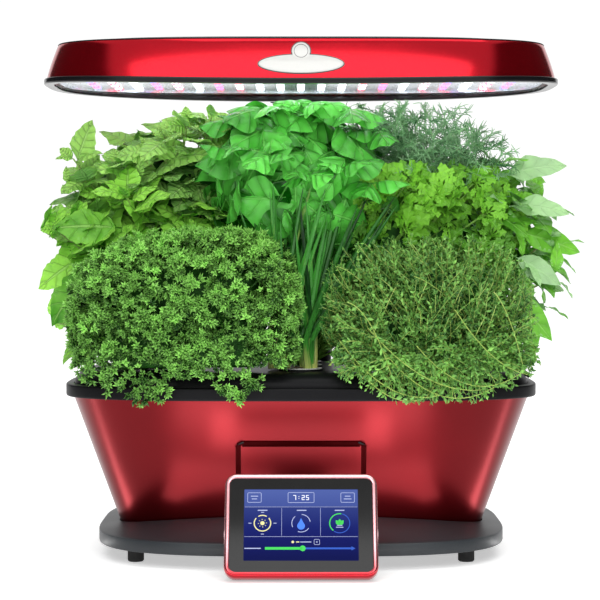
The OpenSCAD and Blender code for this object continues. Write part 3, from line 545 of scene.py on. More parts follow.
def stalk_tree():
    """Draws a round stalk along each edge path, as thick as its points say."""
    sockets = {"Thickness": ("Float", 1.0), "Sides": ("Int", 6), "Material": ("Material", None)}
    tree, source, sink = new_tree("draw stalks", **sockets)
    curves = add_node(tree, "GeometryNodeMeshToCurve", {0: source.outputs[0]})
    radius = compute(tree, "MULTIPLY", attribute_in(tree, "thick"), source.outputs["Thickness"])
    sized = add_node(tree, "GeometryNodeSetCurveRadius", {0: curves.outputs[0], "Radius": radius})
    inputs = {"Resolution": source.outputs["Sides"], "Radius": MM}
    section = add_node(tree, "GeometryNodeCurvePrimitiveCircle", inputs)
    inputs = {"Curve": sized.outputs[0], "Profile Curve": section.outputs[0], "Fill Caps": True}
    drawn = add_node(tree, "GeometryNodeCurveToMesh", inputs)
    if "Scale" in drawn.inputs:
        tree.links.new(radius, drawn.inputs["Scale"])
    finish_tree(tree, drawn.outputs[0], sink, source.outputs["Material"])
    return tree


def shape_set(name, shapes):
    """A collection of hidden shapes, in order, for a spreading tree."""
    group = bpy.data.collections.new(name)
    for i, (points, faces, extra) in enumerate(shapes):
        mesh = mesh_of(f"{name}_{i:02d}", points, faces)
        for label, values in extra.items():
            write_attribute(mesh, label, values)
        mesh.shade_smooth()
        group.objects.link(bpy.data.objects.new(mesh.name, mesh))
    return group


def drop_shapes(group):
    for o in list(group.objects):
        mesh = o.data
        bpy.data.objects.remove(o)
        bpy.data.meshes.remove(mesh)
    bpy.data.collections.remove(group)


def scatter(name, shape, spots, material, body, twist=0.0, **rest):
    """Puts one shape on every spot with the spreading tree, each turned a step more than the last."""
    group = shape_set(name + "_shape", [shape])
    count = len(spots)
    turns = np.column_stack([np.zeros((count, 2)), np.arange(count) * twist])
    seeds = seed_mesh(spots, turn=turns, size=np.ones(count), kind=np.zeros(count, int))
    values = {"Shapes": group, "Size": 1.0, "Size Spread": 0.0, "Seed": 1, "Material": material}
    grow(name, seeds, TREES["spread"], values, body, **rest)
    drop_shapes(group)


# ---- sizes of the garden, in millimetres ----

RIM_A, RIM_B = 193.0, 95.0  # half width and half depth of the band round the bowl
BOWL_FOOT, BOWL_RIM = 22.0, 128.0
BOWL_A, BOWL_B, FLARE_A, FLARE_B = 149.0, 56.0, 38.0, 34.0  # the bowl's foot, and how far it widens
BOWL_WALL, FRONT_HALF = 1.4, 62.0
BAND_TOP, DECK_TOP, DECK_FOOT, DECK_WALL = 138.0, 149.0, 133.3, 2.5
DECK_A, DECK_B = 186.4, 88.4
BASE_FOOT, BASE_EDGE, BASE_WALL, BASE_DOME = 11.0, 21.0, 2.4, 15.0
BASE_HALF, BASE_BACK, BASE_FRONT = 165.5, 125.0, 127.0
BACK_SQUARENESS, FRONT_SQUARENESS = 4.0, 3.2
SEAT_A, SEAT_B = 150.4, 60.6  # where the bowl stands on the base
HOOD_A, HOOD_B = 210.0, 100.0
HOOD_Z, TRIM_H, BAND_H, BAND_LEAN, BAND_INSET = 376.0, 4.6, 31.4, 9.0, 2.0
SMILE = 4.5  # how far the hood's lower edge rises at its ends
TRAY_Z = 384.2
LAMP_PITCH_X, LAMP_PITCH_Y, TRAY_A, TRAY_B = 17.3, 15.5, 190, 80
MAST_Y = 136.6
PODS = [(x, y) for y in (-44.0, 0.0, 44.0) for x in (-112.0, 0.0, 112.0)]
POD_SPOTS = [(x, y + MID_Y, 0) for x, y in PODS]
POD_HOLE = 16.2
HERB_Z = 151.1
SCREEN_W, SCREEN_H, SCREEN_LEAN = 115.5, 82.0, math.radians(28)
SCREEN_FOOT = (-152.4695, 5.0)
HINGE_X, PIN_Z, LID_W = 134.4, 152.4, 40.0
LUG_R, LUG_HALF = 3, 2.5
LID_REACH = 66  # the arc that the lid sweeps, with room to spare
BADGE_SHARE, LOBE_Y = 0.35, 10.4


def hood_lift(ring):
    """How far the hood's lower edge rises above its middle at each point of a ring."""
    return SMILE * (ring[:, 0] / HOOD_A) ** 2


def on_screen(points):
    """Turns points (across, up from the screen's middle, behind its face) to their place."""
    c, s = math.cos(SCREEN_LEAN), math.sin(SCREEN_LEAN)
    y, z = points[:, 2], points[:, 1] + SCREEN_H / 2
    return np.column_stack([points[:, 0], SCREEN_FOOT[0] + y * c + z * s, SCREEN_FOOT[1] - y * s + z * c])


def screen_plate(outline, front, back):
    """A flat outline on the screen, from front to back behind its face."""
    points, faces = prism(outline, front, back)
    return on_screen(points), faces


# ---- base ----


def base_outline(inset, z, angles):
    """The base's outline, squarer behind its middle than in front of it."""
    c, s = np.cos(angles), np.sin(angles)
    back, front = 2 / BACK_SQUARENESS, 2 / FRONT_SQUARENESS
    x = (BASE_HALF - inset) * np.where(s > 0, signed_power(c, back), signed_power(c, front))
    y = np.where(s > 0, (BASE_BACK - inset) * signed_power(s, back),
                 (BASE_FRONT - inset) * signed_power(s, front))
    return level(np.column_stack([x, y + MID_Y]), z)


def dome_height(ring):
    """Height of the base's domed top under each point of a ring."""
    x, y = np.abs(ring[:, 0]) / BASE_HALF, ring[:, 1] - MID_Y
    n = np.where(y > 0, BACK_SQUARENESS, FRONT_SQUARENESS)
    share = (x**n + (np.abs(y) / np.where(y > 0, BASE_BACK, BASE_FRONT)) ** n) ** (1 / n)
    return BASE_EDGE + BASE_DOME * (1 - np.minimum(share, 1) ** 2)


def base_shell_rings():
    """Rings from the underside of the dome's middle, round the foot, and up to the bowl's seat."""
    angles = even_angles(165, 126, 3.5, 288)
    seat = oval(SEAT_A, SEAT_B, 0, angles)
    wall = BASE_WALL

    def dome(k, drop=0, inset=0):
        ring = base_outline(inset, 0, angles) * (1 - k) + seat * k
        ring[:, 2] = dome_height(ring) - drop
        return ring

    rings = [dome(1, wall, wall), dome(0.4, wall, wall)]
    for inset, z in ((wall, BASE_EDGE - wall), (wall, BASE_FOOT), (0.9, BASE_FOOT), (0.25, BASE_FOOT + 0.3),
                     (0, BASE_FOOT + 1), (0, BASE_EDGE - 0.9)):
        rings.append(base_outline(inset, z, angles))
    eased = 0.035  # the rounded edge ends at this share of the way to the seat
    for k in (0.006, 0.016, eased):
        ring = dome(k)
        ring[:, 2] -= 0.35 * (1 - k / eased)
        rings.append(ring)
    return rings + [dome(k) for k in (0.08, 0.15, 0.28, 0.42, 0.56, 0.7, 0.85, 1.0)]


class GARDEN_OT_base(bpy.types.Operator):
    """Builds the moulded base, and finishes its plate, feet, screws, board and inlet"""

    bl_idname = "garden.base"
    bl_label = "Base"

    def execute(self, context):
        shell = loft("base_body", base_shell_rings(), FINISH["base"], "base", closed=True,
                     replaces=["base_shell"], slot="base_plastic", sharp=40)
        above = 60.0  # over the dome's top
        mast_slot = prism(stadium(60.6, 24.6) + (0, MAST_Y), BASE_FOOT - 3, above)
        arm_slot = prism(box(-23.3, -105, 23.3, -71), 23.1, above)
        inlet, faces = prism(circle(3.6, 32, 74.0, 17.0), 140.0, 160.0)
        carve(shell, [mast_slot, arm_slot, (inlet[:, [0, 2, 1]], faces)])
        paint_nodes({"base_plate": "black", "base_feet": "rubber", "base_screws": "steel",
                     "control_board": "board", "power_inlet": "black"})
        return {"FINISHED"}


# ---- bowl ----


def bowl_half(z, inset):
    """The bowl's half width and half depth at height z."""
    s = (z - BOWL_FOOT) / (BOWL_RIM - BOWL_FOOT)
    return BOWL_A + FLARE_A * s - inset, BOWL_B + FLARE_B * s - inset


def recess_depth(x, z, inset):
    """How far the recess in the bowl's front lies behind its face."""
    half, top, r, top_bevel, side_bevel = 51.6, 95.6, 6.0, 6.0, 3.4
    floor = 3.6 + 6.6 * (z - BOWL_FOOT) / (top - BOWL_FOOT)
    right, up = half + inset - np.abs(x), top + inset - z
    inside = np.minimum(right, up)
    corner = (right < r) & (up < r)
    inside = np.where(corner, r - np.hypot(r - right, r - up), inside)
    wall = np.clip(inside / np.where(up < right, top_bevel, side_bevel), 0, 1)
    return floor * (wall * wall * (3 - 2 * wall) * 0.35 + wall * 0.65)


def bowl_ring(z, inset):
    """A ring of the bowl's wall: a squarish oval whose front follows the recess."""
    a, b = bowl_half(z, inset)
    start = math.acos((FRONT_HALF / a) ** (SQUARENESS / 2))
    t = np.linspace(-start, math.pi + start, 221)
    t = t[(t > -start + 1e-9) & (t < math.pi + start - 1e-9)]
    power = 2 / SQUARENESS
    side = np.column_stack([a * signed_power(np.cos(t), power), b * signed_power(np.sin(t), power)])
    x = np.arange(-FRONT_HALF, FRONT_HALF + 0.01, 1.0)
    y = -b * (1 - (np.abs(x) / a) ** SQUARENESS) ** (1 / SQUARENESS) + recess_depth(x, z, inset)
    return level(np.concatenate([side, np.column_stack([x, y])]) + (0, MID_Y), z)


class GARDEN_OT_bowl(bpy.types.Operator):
    """Builds the bowl's red wall with its recess, and finishes the tank, pump and float"""

    bl_idname = "garden.bowl"
    bl_label = "Bowl"

    def execute(self, context):
        heights = [24.2, 28, 34, 42, 50, 58, 66, 74, 80, *np.arange(84, 98.6, 0.9), 102, 108, 114, 120, 125]
        foot = [(BOWL_FOOT, 2.0), (BOWL_FOOT + 0.4, 0.7), (BOWL_FOOT + 1.2, 0.1)]
        outer = foot + [(z, 0) for z in (*heights, BOWL_RIM)]
        inner = [(z, BOWL_WALL) for z in (BOWL_RIM, *heights[::-3], BOWL_FOOT + BOWL_WALL)]
        loft("bowl_wall", [bowl_ring(z, inset) for z, inset in outer + inner], FINISH["red paint"], "base",
             replaces=["bowl_skin"], slot="red_metal", sharp=28)
        paint_nodes({"water_tank": "black", "pump_housing": "black", "pump_impeller": "ivory plastic",
                     "pump_strainer": "black", "riser_tube": "clear tube", "float_guide": "black",
                     "float_body": "ivory plastic"})
        return {"FINISHED"}


# ---- deck and pods ----


def turned_rings(profile, count):
    """Round rings at a profile's radii and heights."""
    return [level(circle(r, count), z) for r, z in profile]


def turned_ring(section, count=40):
    """A closed section (radius, z, corner radius) turned about the upright axis."""
    rings = turned_rings(rounded(section, 3), count)
    return np.concatenate(rings), ring_faces(len(rings), count, True), {}


def sponge_shape():
    """A plug of open foam with a crumpled top."""
    rings, count = [], 28
    t = np.arange(count) * TURN / count
    for r, z in ((7.0, 104.2), (8.8, 120.0), (9.0, 148.0), (8.7, 150.6), (6.0, 151.5), (2.5, 151.2)):
        wave = 1 + 0.03 * np.sin(7 * t + z) + 0.02 * np.sin(11 * t - z)
        x, y = r * wave * np.cos(t), r * wave * np.sin(t)
        rings.append(np.column_stack([x, y, z + 0.25 * np.sin(5 * t + r)]))
    return np.concatenate(rings), tube_faces(len(rings), count), {}


class GARDEN_OT_deck(bpy.types.Operator):
    """Builds the band round the bowl, the grow deck and the pods' plugs, and finishes the water lid"""

    bl_idname = "garden.deck"
    bl_label = "Grow deck"

    def execute(self, context):
        ledge = DECK_FOOT - 2
        section = [(0.4, BOWL_RIM, 0.5), (0, BOWL_RIM + 1.2, 0.6), (0, BAND_TOP, 1.6), (6.2, BAND_TOP, 0.3),
                   (6.2, DECK_FOOT, 0.1), (9.6, DECK_FOOT, 0.1), (9.6, ledge, 0.1), (2.6, ledge, 0.1),
                   (2.6, BOWL_RIM, 0.1)]
        loft("rim_band", oval_hoop(RIM_A, RIM_B, section), FINISH["satin black"], "base", closed=True,
             replaces=["deck_band"], slot="black_plastic")
        outside = [(0, DECK_FOOT), (0, 136), (0, 138.4), (0.8, 141.4), (2.6, 144.2), (4.8, 146.2),
                   (7.6, 147.6), (10.6, 148.5), (14, 148.9), (18, DECK_TOP), (30, DECK_TOP)]
        inside = [(30, DECK_TOP - DECK_WALL), (15, DECK_TOP - DECK_WALL), (5.5, 143.7), (DECK_WALL, 139),
                  (DECK_WALL, DECK_FOOT)]
        rings = [oval(DECK_A - i, DECK_B - i, z) for i, z in inside + outside]
        deck = loft("deck_plate", rings, FINISH["satin black"], "base", slot="black_plastic")
        for s in (-1, 1):
            self.add_lug(deck, s * (LID_W / 2 - LUG_HALF))
        port = rounded_rect(26, 30, 4) + (HINGE_X + 19, MID_Y)
        outlines = [circle(POD_HOLE, 48, x, y) for x, y, _ in POD_SPOTS] + [port]
        carve(deck, [prism(outline, 140, 160) for outline in outlines])
        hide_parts("deck_skirt", "grow_deck", "lid_lugs")
        scatter("pod_plugs", sponge_shape(), POD_SPOTS, FINISH["sponge"], "base", 0.7,
                replaces=["grow_sponges"], slot="sponge")
        label = [(9.3, 150.5, 0.1), (17.2, 150.5, 0.1), (17.2, 151.1, 0.2), (9.3, 151.1, 0.2)]
        scatter("pod_discs", turned_ring(label), POD_SPOTS, FINISH["label"], "base", 0.7,
                replaces=["pod_labels"], slot="label")
        paint_nodes({"port_lid": "satin black", "port_lid_pin": "steel", "grow_baskets": "black"})
        return {"FINISHED"}

    def add_lug(self, deck, y):
        """Joins a hinge lug to the deck's mesh."""
        t = np.linspace(0, math.pi, 13)
        arch = [(HINGE_X + LUG_R * c, PIN_Z + LUG_R * s) for c, s in zip(np.cos(t), np.sin(t))]
        outline = [(HINGE_X - LUG_R, DECK_TOP - 1), (HINGE_X + LUG_R, DECK_TOP - 1), *arch]
        points, faces = prism(outline, y + MID_Y - LUG_HALF, y + MID_Y + LUG_HALF)
        work = bmesh.new()
        work.from_mesh(deck.data)
        verts = [work.verts.new((x * MM, z * MM, w * MM)) for x, w, z in points]
        for face in faces:
            work.faces.new([verts[i] for i in face])
        bmesh.ops.recalc_face_normals(work, faces=work.faces)
        work.to_mesh(deck.data)
        work.free()


# ---- mast ----


class GARDEN_OT_mast(bpy.types.Operator):
    """Finishes the three mast tubes, their collars and the release button"""

    bl_idname = "garden.mast"
    bl_label = "Mast"

    def execute(self, context):
        paint_nodes({"mast_socket": "black", "mast_outer": "satin black", "outer_collar": "satin black",
                     "release_button": "steel", "mast_middle": "drawn aluminium",
                     "middle_collar": "satin black", "mast_inner": "drawn aluminium",
                     "hood_bracket": "black"})
        return {"FINISHED"}


# ---- hood ----


def band_ring(inset, k):
    """A ring of the hood's red band at share k of its height."""
    bulge = 0.5 * math.sin(math.pi * k)
    out = BAND_INSET + BAND_LEAN * k - bulge + inset
    ring = oval(HOOD_A - out, HOOD_B - out, HOOD_Z + TRIM_H + BAND_H * k)
    ring[:, 2] += (1 - k) * hood_lift(ring)
    return ring


def on_band(points):
    """Turns badge points (across, up, out) to the hood band's leaning front."""
    lean = math.atan2(BAND_LEAN, BAND_H)
    y0 = MID_Y - (HOOD_B - BAND_INSET - BAND_LEAN * BADGE_SHARE) - 0.1
    z0 = HOOD_Z + TRIM_H + BAND_H * BADGE_SHARE
    x, v, out = points[:, 0], points[:, 1], points[:, 2] + 0.15
    c, s = math.cos(lean), math.sin(lean)
    return np.column_stack([x, y0 + v * s - out * c, z0 + v * c + out * s])


def pillow(outline, centre, height, steps=5):
    """A flat outline that rises to a softly rounded face: points and faces."""
    rings = [level(outline, 0)]
    for k in range(1, steps + 1):
        a = k / steps * math.pi / 2
        shrink = 1 - 0.9 * height / np.linalg.norm(outline - centre, axis=1).min() * (1 - math.cos(a))
        rings.append(level(centre + (outline - centre) * shrink, height * math.sin(a)))
    return np.concatenate(rings), tube_faces(len(rings), len(outline))


def frame_of(outer, inner, low, high):
    """A flat frame between two outlines of equal count."""
    rings = [level(outer, low), level(outer, high), level(inner, high), level(inner, low)]
    return np.concatenate(rings), ring_faces(4, len(outer), True)


def led_spots(kind):
    """Places of the lamps of one colour under the hood: 0 is white, 1 red and 2 blue."""
    spots = []
    for c in range(-11, 12):
        for r in range(-4, 5):
            x, y = c * LAMP_PITCH_X, r * LAMP_PITCH_Y
            if (abs(x) / TRAY_A) ** SQUARENESS + (abs(y) / TRAY_B) ** SQUARENESS >= 1:
                continue
            even_row, odd_row = ((1, 0), (1, 2), (0, 0))[abs(c) % 3 if abs(c) >= 3 else 2]
            if kind == (odd_row if r % 2 else even_row):
                spots.append((x, y + MID_Y, TRAY_Z))
    return spots


def turned_down(profile, count):
    """A closed round shape whose profile runs downwards."""
    return np.concatenate(turned_rings(profile, count)), flipped(tube_faces(len(profile), count))


def lamp_shape():
    """Four small domed lamps on one foot, that look down."""
    dome, faces = turned_down([(1.35, -0.4), (1.35, -0.7), (1.1, -1.15), (0.45, -1.45)], 10)
    parts = [turned_down([(3.2, 0.0), (3.2, -0.35), (2.9, -0.45)], 14)]
    parts += [(dome + (1.45 * x, 1.45 * y, 0), faces) for x in (-1, 1) for y in (-1, 1)]
    return (*joined(parts), {})


class GARDEN_OT_hood(bpy.types.Operator):
    """Builds the hood's trim, red band, vented cover and badge"""

    bl_idname = "garden.hood"
    bl_label = "Hood"

    def execute(self, context):
        trim = [(0.5, HOOD_Z, 0.5), (0, HOOD_Z + 0.8, 0.6), (0, HOOD_Z + TRIM_H, 1.2),
                (8, HOOD_Z + TRIM_H, 0.3), (8, HOOD_Z, 0.6)]
        loft("hood_rim", oval_hoop(HOOD_A, HOOD_B, trim, hood_lift), FINISH["gloss black"], "hood",
             closed=True, replaces=["hood_trim"], slot="black_plastic")
        steps = np.linspace(0, 1, 9)
        outer = [(0.25, 0), *[(0, k) for k in steps[1:-1]], (0, 0.985), (0.3, 1)]
        rings = [band_ring(inset, k) for inset, k in outer + [(1.4, k) for k in steps[::-2]]]
        band = loft("hood_side", rings, FINISH["red hood"], "hood", closed=True, replaces=["hood_band"],
                    slot="red_metal", sharp=30)
        carve(band, [prism(box(-24.6, MAST_Y - 40, 24.6, MAST_Y + 20), 391.2, 405.0)])
        self.build_cover()
        self.build_badge()
        paint_nodes({"hood_screws": "steel", "heat_sink": "drawn aluminium", "led_driver": "board"})
        return {"FINISHED"}

    def build_cover(self):
        """The cover: a shallow dome with a row of vents."""
        inset = BAND_INSET + BAND_LEAN
        top = HOOD_Z + TRIM_H + BAND_H
        under = [(60, 5.4), (36, 3.4), (14, 1.0), (3, 0.1)]
        over = [(3, 0.0), (0.3, 0.0), (0, 0.2), (0, 0.6), (0.4, 0.9), (2, 1.2), (6, 1.7), (12, 2.4),
                (20, 3.4), (34, 5.2), (48, 6.7), (60, 7.4)]
        rings = [oval(HOOD_A - inset - i, HOOD_B - inset - i, top + rise) for i, rise in under + over]
        cover = loft("hood_top", rings, FINISH["satin black"], "hood", slot="black_plastic", sharp=40)
        vent = stadium(40, 5)[:, ::-1]
        carve(cover, [prism(vent + (x, MID_Y), top, top + 20) for x in range(-78, 79, 12)])
        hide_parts("hood_cover")

    def build_badge(self):
        """The badge: an oval plate with a round lobe on it, and dark lines round both."""
        lobe = (0, LOBE_Y)
        parts = [pillow(ellipse(33.5, 7.8), (0, 0), 0.9), pillow(circle(7.4, 40, *lobe), lobe, 0.95)]
        points, faces = joined(parts)
        make_piece("badge_plate", on_band(points), faces, FINISH["badge"], "hood", replaces=["hood_badge"],
                   slot="off_white", sharp=50)
        lines = [frame_of(circle(5.6, 40, *lobe), circle(5.2, 40, *lobe), 0.9, 1.05),
                 frame_of(ellipse(34.1, 8.4), ellipse(33.2, 7.5), 0.0, 0.45),
                 frame_of(circle(8.0, 40, *lobe), circle(7.1, 40, *lobe), 0.0, 0.45)]
        points, faces = joined(lines)
        rim = make_piece("badge_lines", on_band(points), faces, FINISH["badge line"], "hood",
                         slot="black_plastic")
        point_outwards(rim.data)


class GARDEN_OT_lamps(bpy.types.Operator):
    """Builds the lamps with a spreading tree, and finishes their tray, board and lens"""

    bl_idname = "garden.lamps"
    bl_label = "Grow light"

    def execute(self, context):
        shape = lamp_shape()
        for kind, colour in enumerate(("white", "red", "blue")):
            scatter(colour + "_lamps", shape, led_spots(kind), FINISH[colour + " lamp"], "hood",
                    replaces=[colour + "_leds"], slot=colour + "_light")
        paint_nodes({"reflector": "silver tray", "led_board": "white board", "light_lens": "lens"})
        return {"FINISHED"}


# ---- screen ----


def bezel_rings():
    """Rings of the screen's frame: out over its rounded edge, and down to the glass."""
    section = [(1.2, 9.0), (0.3, 8.8), (0, 8.2), (0, 2.6), (0.25, 1.5), (0.8, 0.6), (1.6, 0.1), (2.4, 0.0),
               (3.4, 0.05), (3.9, 0.35), (4.05, 0.9), (4.1, 7.5)]
    rings = []
    for inset, depth in section:
        outline = rounded_rect(SCREEN_W - 2 * inset, SCREEN_H - 2 * inset, max(9.0 - inset, 3.0), 12)
        rings.append(on_screen(level(outline, depth)))
    return rings


def bar(x, y, w, h, r=0.4):
    return rounded_rect(w, h, min(r, w / 2.01, h / 2.01), 5) + (x, y)


def box_line(x, y, w, h, r, line):
    """The two outlines of a box's line."""
    inner = rounded_rect(w - 2 * line, h - 2 * line, r - line, 6)
    return rounded_rect(w, h, r, 6) + (x, y), inner + (x, y)


def arc_strip(x, y, r, line, start, end, count=40):
    """A curved strip, as a closed outline, from start to end in degrees."""
    t = np.radians(np.linspace(start, end, count))
    out = np.column_stack([x + r * np.cos(t), y + r * np.sin(t)])
    back = np.column_stack([x + (r - line) * np.cos(t), y + (r - line) * np.sin(t)])
    return np.concatenate([out, back[::-1]])


DIGITS = {"0": "abcdef", "1": "bc", "2": "abged", "3": "abgcd", "4": "fgbc", "5": "afgcd", "6": "afgedc",
          "7": "abc", "8": "abcdefg", "9": "abfgcd"}


def digit(value, x, y, h):
    """Seven-bar outlines of one figure, h high, centred on x and y."""
    w, line = h * 0.5, h * 0.16
    spots = {"a": (0, 0.5, 1), "g": (0, 0, 1), "d": (0, -0.5, 1), "f": (-0.5, 0.25, 0), "b": (0.5, 0.25, 0),
             "e": (-0.5, -0.25, 0), "c": (0.5, -0.25, 0)}
    out = []
    for key in DIGITS[value]:
        dx, dy, flat = spots[key]
        size = (w + line, line) if flat else (line, h / 2 + line)
        out.append(bar(x + dx * w, y + dy * h, *size, r=line / 2.1))
    return out


def figures(text, x, y, h):
    out, step = [], h * 0.95
    x -= step * (len(text) - 1) / 2
    for c in text:
        if c == ":":
            out += [circle(h * 0.1, 12, x, y + s * h * 0.22) for s in (-1, 1)]
        else:
            out += digit(c, x, y, h)
        x += step
    return out


def drop_outline(x, y, r):
    """A water drop with its tip up."""
    t = np.linspace(math.pi * 0.86, math.pi * 2.14, 26)
    arc = np.column_stack([x + r * np.cos(t), y - 0.4 * r + r * np.sin(t)])
    tip = [(x + 0.42 * r, y + 0.85 * r), (x, y + 1.75 * r), (x - 0.42 * r, y + 0.85 * r)]
    return np.concatenate([arc, tip])


def leaf_outline(x, y, r, angle):
    t = np.linspace(0, 1, 14)
    half = 0.34 * np.sin(math.pi * t**0.8)
    p = np.concatenate([np.column_stack([t, half]), np.column_stack([t, -half])[::-1][1:-1]]) * r
    c, s = math.cos(angle), math.sin(angle)
    return np.column_stack([x + p[:, 0] * c - p[:, 1] * s, y + p[:, 0] * s + p[:, 1] * c])


class GARDEN_OT_screen(bpy.types.Operator):
    """Builds the touch screen's frame, glass and lit picture"""

    bl_idname = "garden.screen"
    bl_label = "Touch screen"

    def execute(self, context):
        loft("screen_frame", bezel_rings(), FINISH["red gloss"], "screen", closed=True,
             replaces=["screen_bezel"], slot="red_plastic", sharp=40)
        backing = screen_plate(rounded_rect(104, 70, 3), 8.0, 9.0)
        make_piece("screen_lining", *backing, FINISH["black"], "screen", slot="black_plastic")
        glass = screen_plate(rounded_rect(107.3, 73.8, 5, 10), 0.9, 2.0)
        piece = make_piece("screen_glass", *glass, FINISH["black glass"], "screen", replaces=["touch_glass"],
                           slot="dark_glass")
        point_outwards(piece.data)
        self.picture()
        paint_nodes({"screen_arm": "black", "screen_pin": "steel", "screen_back": "black",
                     "screen_board": "board", "display_panel": "black"})
        return {"FINISHED"}

    def picture(self):
        """The lit picture: a blue ground with boxes, three gauges and a slider."""
        w, h = 86.0, 56.4
        head, dial, plus, slider = 21.6, 1.2, -13.6, -18.6  # heights of the picture's rows
        self.layer("picture_ground", [rounded_rect(w, h, 0.5, 3)], "picture blue", 0.84)
        self.layer("picture_header", [bar(0, h / 2 - 7.0, w - 0.6, 13.4, 0.3)], "picture header", 0.8)
        lines = [box_line(-35.2, head, 10.6, 8.0, 1.0, 0.35), box_line(0, head, 20.0, 8.4, 1.0, 0.35),
                 box_line(35.2, head, 10.6, 8.0, 1.0, 0.35), box_line(11.8, plus, 4.4, 4.4, 0.9, 0.3)]
        rules = [(-14.6, 2.4, 0.22, 22), (14.6, 2.4, 0.22, 22), (0, -9.4, w - 1, 0.22),
                 (0, 14.1, w - 1, 0.22)]
        rules += [(-35.2, head + 1.1, 5.6, 0.6), (-35.2, head - 1.1, 4.2, 0.6), (35.2, head + 1.1, 4.4, 0.6),
                  (35.2, head - 1.1, 6.0, 0.6)]
        rules += [(x, 11.4, 7.4, 0.75) for x in (-29, 0.4, 29)]
        rules += [(11.8, plus, 1.6, 0.35), (11.8, plus, 0.35, 1.6), (3.6, plus, 8.4, 0.6)]
        strips = [bar(*rule) for rule in rules]
        strips += [arc_strip(0, dial, 7.2, 0.5, a, a + 76) for a in (10, 130, 250)]
        strips += [bar(-29 + x, dial + y, 2.4, 0.5) for x, y in ((0, 8.6), (0, -8.6), (9.4, 0), (-9.4, 0))]
        strips += [bar(-36.2, slider, 12.4, 0.7), bar(29, -0.6, 4.2, 0.5), bar(29, -2.0, 5.6, 0.5)]
        self.layer("picture_lines", strips, "picture pale", 0.76, frames=lines)
        self.layer("picture_figures", figures("7:25", 0, head, 3.4), "picture white", 0.75)
        self.layer("picture_drop", [drop_outline(0, 0.2, 2.9)], "picture sky", 0.75)
        sun = [arc_strip(-29, dial, 6.6, 0.8, start, end) for start, end in ((-220, 40), (60, 120))]
        sun += [circle(1.6, 24, -29, dial)]
        sun += [arc_strip(-29, dial, 3.3, 0.7, a, a + 9, 4) for a in range(0, 360, 45)]
        sun += [circle(1.0, 16, -6.2, plus), bar(-2.6, plus, 2.6, 0.7)]
        self.layer("picture_sun", sun, "picture yellow", 0.75)
        green = [bar(-13.0, slider, 28, 2.0, 0.3), circle(2.2, 28, 1.2, slider)]
        green += [arc_strip(29, dial, 7.9, 0.8, 80, 230)]
        green += [leaf_outline(29, 0.0, 4.6, math.radians(a)) for a in (50, 90, 130)]
        self.layer("picture_green", green, "picture green", 0.74)
        arrow = [(37.6, slider - 1.6), (40.6, slider), (37.6, slider + 1.6)]
        blue = [bar(20.4, slider, 35, 1.4, 0.3), arrow, arc_strip(29, dial, 7.9, 0.6, -125, 75)]
        self.layer("picture_track", blue, "picture track", 0.77)

    def layer(self, name, outlines, finish, front, frames=()):
        """One colour of the picture: thin plates and frames whose face lies at front."""
        back = 0.95
        parts = [screen_plate(outline, front, back) for outline in outlines]
        for outer, inner in frames:
            points, faces = frame_of(outer, inner, front, back)
            parts.append((on_screen(points), faces))
        points, faces = joined(parts)
        piece = make_piece(name, points, faces, FINISH[finish], "screen", slot="display", smooth=False)
        point_outwards(piece.data)


# ---- leaves and stems ----


def linear(r, g, b):
    """A colour given in 0..255 screen values, as the shader takes it."""
    return tuple(((c / 255 + 0.055) / 1.055) ** 2.4 if c > 10 else c / 3295 for c in (r, g, b))


def unit(v):
    return v / np.maximum(np.linalg.norm(v, axis=-1, keepdims=True), 1e-9)


def aim(axis, normal):
    """Euler turns that lay a leaf's length (+Y) on axis, and its face (+Z) near normal."""
    y = unit(np.asarray(axis, float))
    x = unit(np.cross(y, normal))
    z = np.cross(x, y)
    return np.stack([np.arctan2(y[..., 2], z[..., 2]), np.arcsin(np.clip(-x[..., 2], -1, 1)),
                     np.arctan2(x[..., 1], x[..., 0])], -1)


def leaf_shape(length, width, rows=14, cols=2, peak=0.4, fold=0.2, arch=0.25, teeth=0, bite=0.0, wave=0.0,
               roll=0.0, stalk=4.0, blunt=0.85, seed=0):
    """A thin closed leaf along +Y with its stalk, its veins' attributes and a toothed edge."""
    rng = np.random.default_rng(seed)
    thick = 0.4
    power = math.log(0.5) / math.log(peak)
    phase = rng.uniform(0, 6, 3)
    u = np.concatenate([[0, 0], np.linspace(0, 1, rows)])
    down = np.concatenate([[0, stalk], stalk + np.linspace(0, 1, rows) * length])
    half = width / 2 * np.sin(math.pi * np.clip(u, 0.004, 0.996) ** power) ** blunt
    if teeth:
        half = half * (1 - bite * ((u * teeth) % 1.0) * (u > 0.06) * (u < 0.99))
    half[:2] = 0.45
    half = np.maximum(half, 0.25)
    across = np.concatenate([np.linspace(-1, 1, 2 * cols + 1), np.linspace(1, -1, 2 * cols + 1)[1:-1]])
    side = np.array([0.0] * (2 * cols + 1) + [1.0] * (2 * cols - 1))
    edge = 1 - across**2
    points = []
    for k in range(len(u)):
        x = across * half[k]
        lift = fold * np.abs(x) - arch * length * u[k] ** 2 + roll * x**2 / width
        flat = min(1, half[k] / 3)
        ripple = wave * np.sin(u[k] * 11 + phase[0] + 2.2 * np.sign(across)) * across**2 * flat
        ripple += wave * 0.5 * np.cos(u[k] * 17 + phase[1]) * np.abs(across) * flat
        stalk_round = (0.45 if k < 2 else 0) * (1 - 2 * side) * edge
        z = lift + ripple + thick * edge * np.where(side > 0.5, -0.5, 0.5) + stalk_round
        swing = 0.06 * length * math.sin(phase[2]) * u[k] ** 2
        points.append(np.column_stack([x + swing, np.full(len(x), down[k]), z]))
    count = len(across)
    extra = {"along": np.repeat(u, count), "across": np.tile(across, len(u)), "under": np.tile(side, len(u))}
    return np.concatenate(points), flipped(tube_faces(len(u), count)), extra


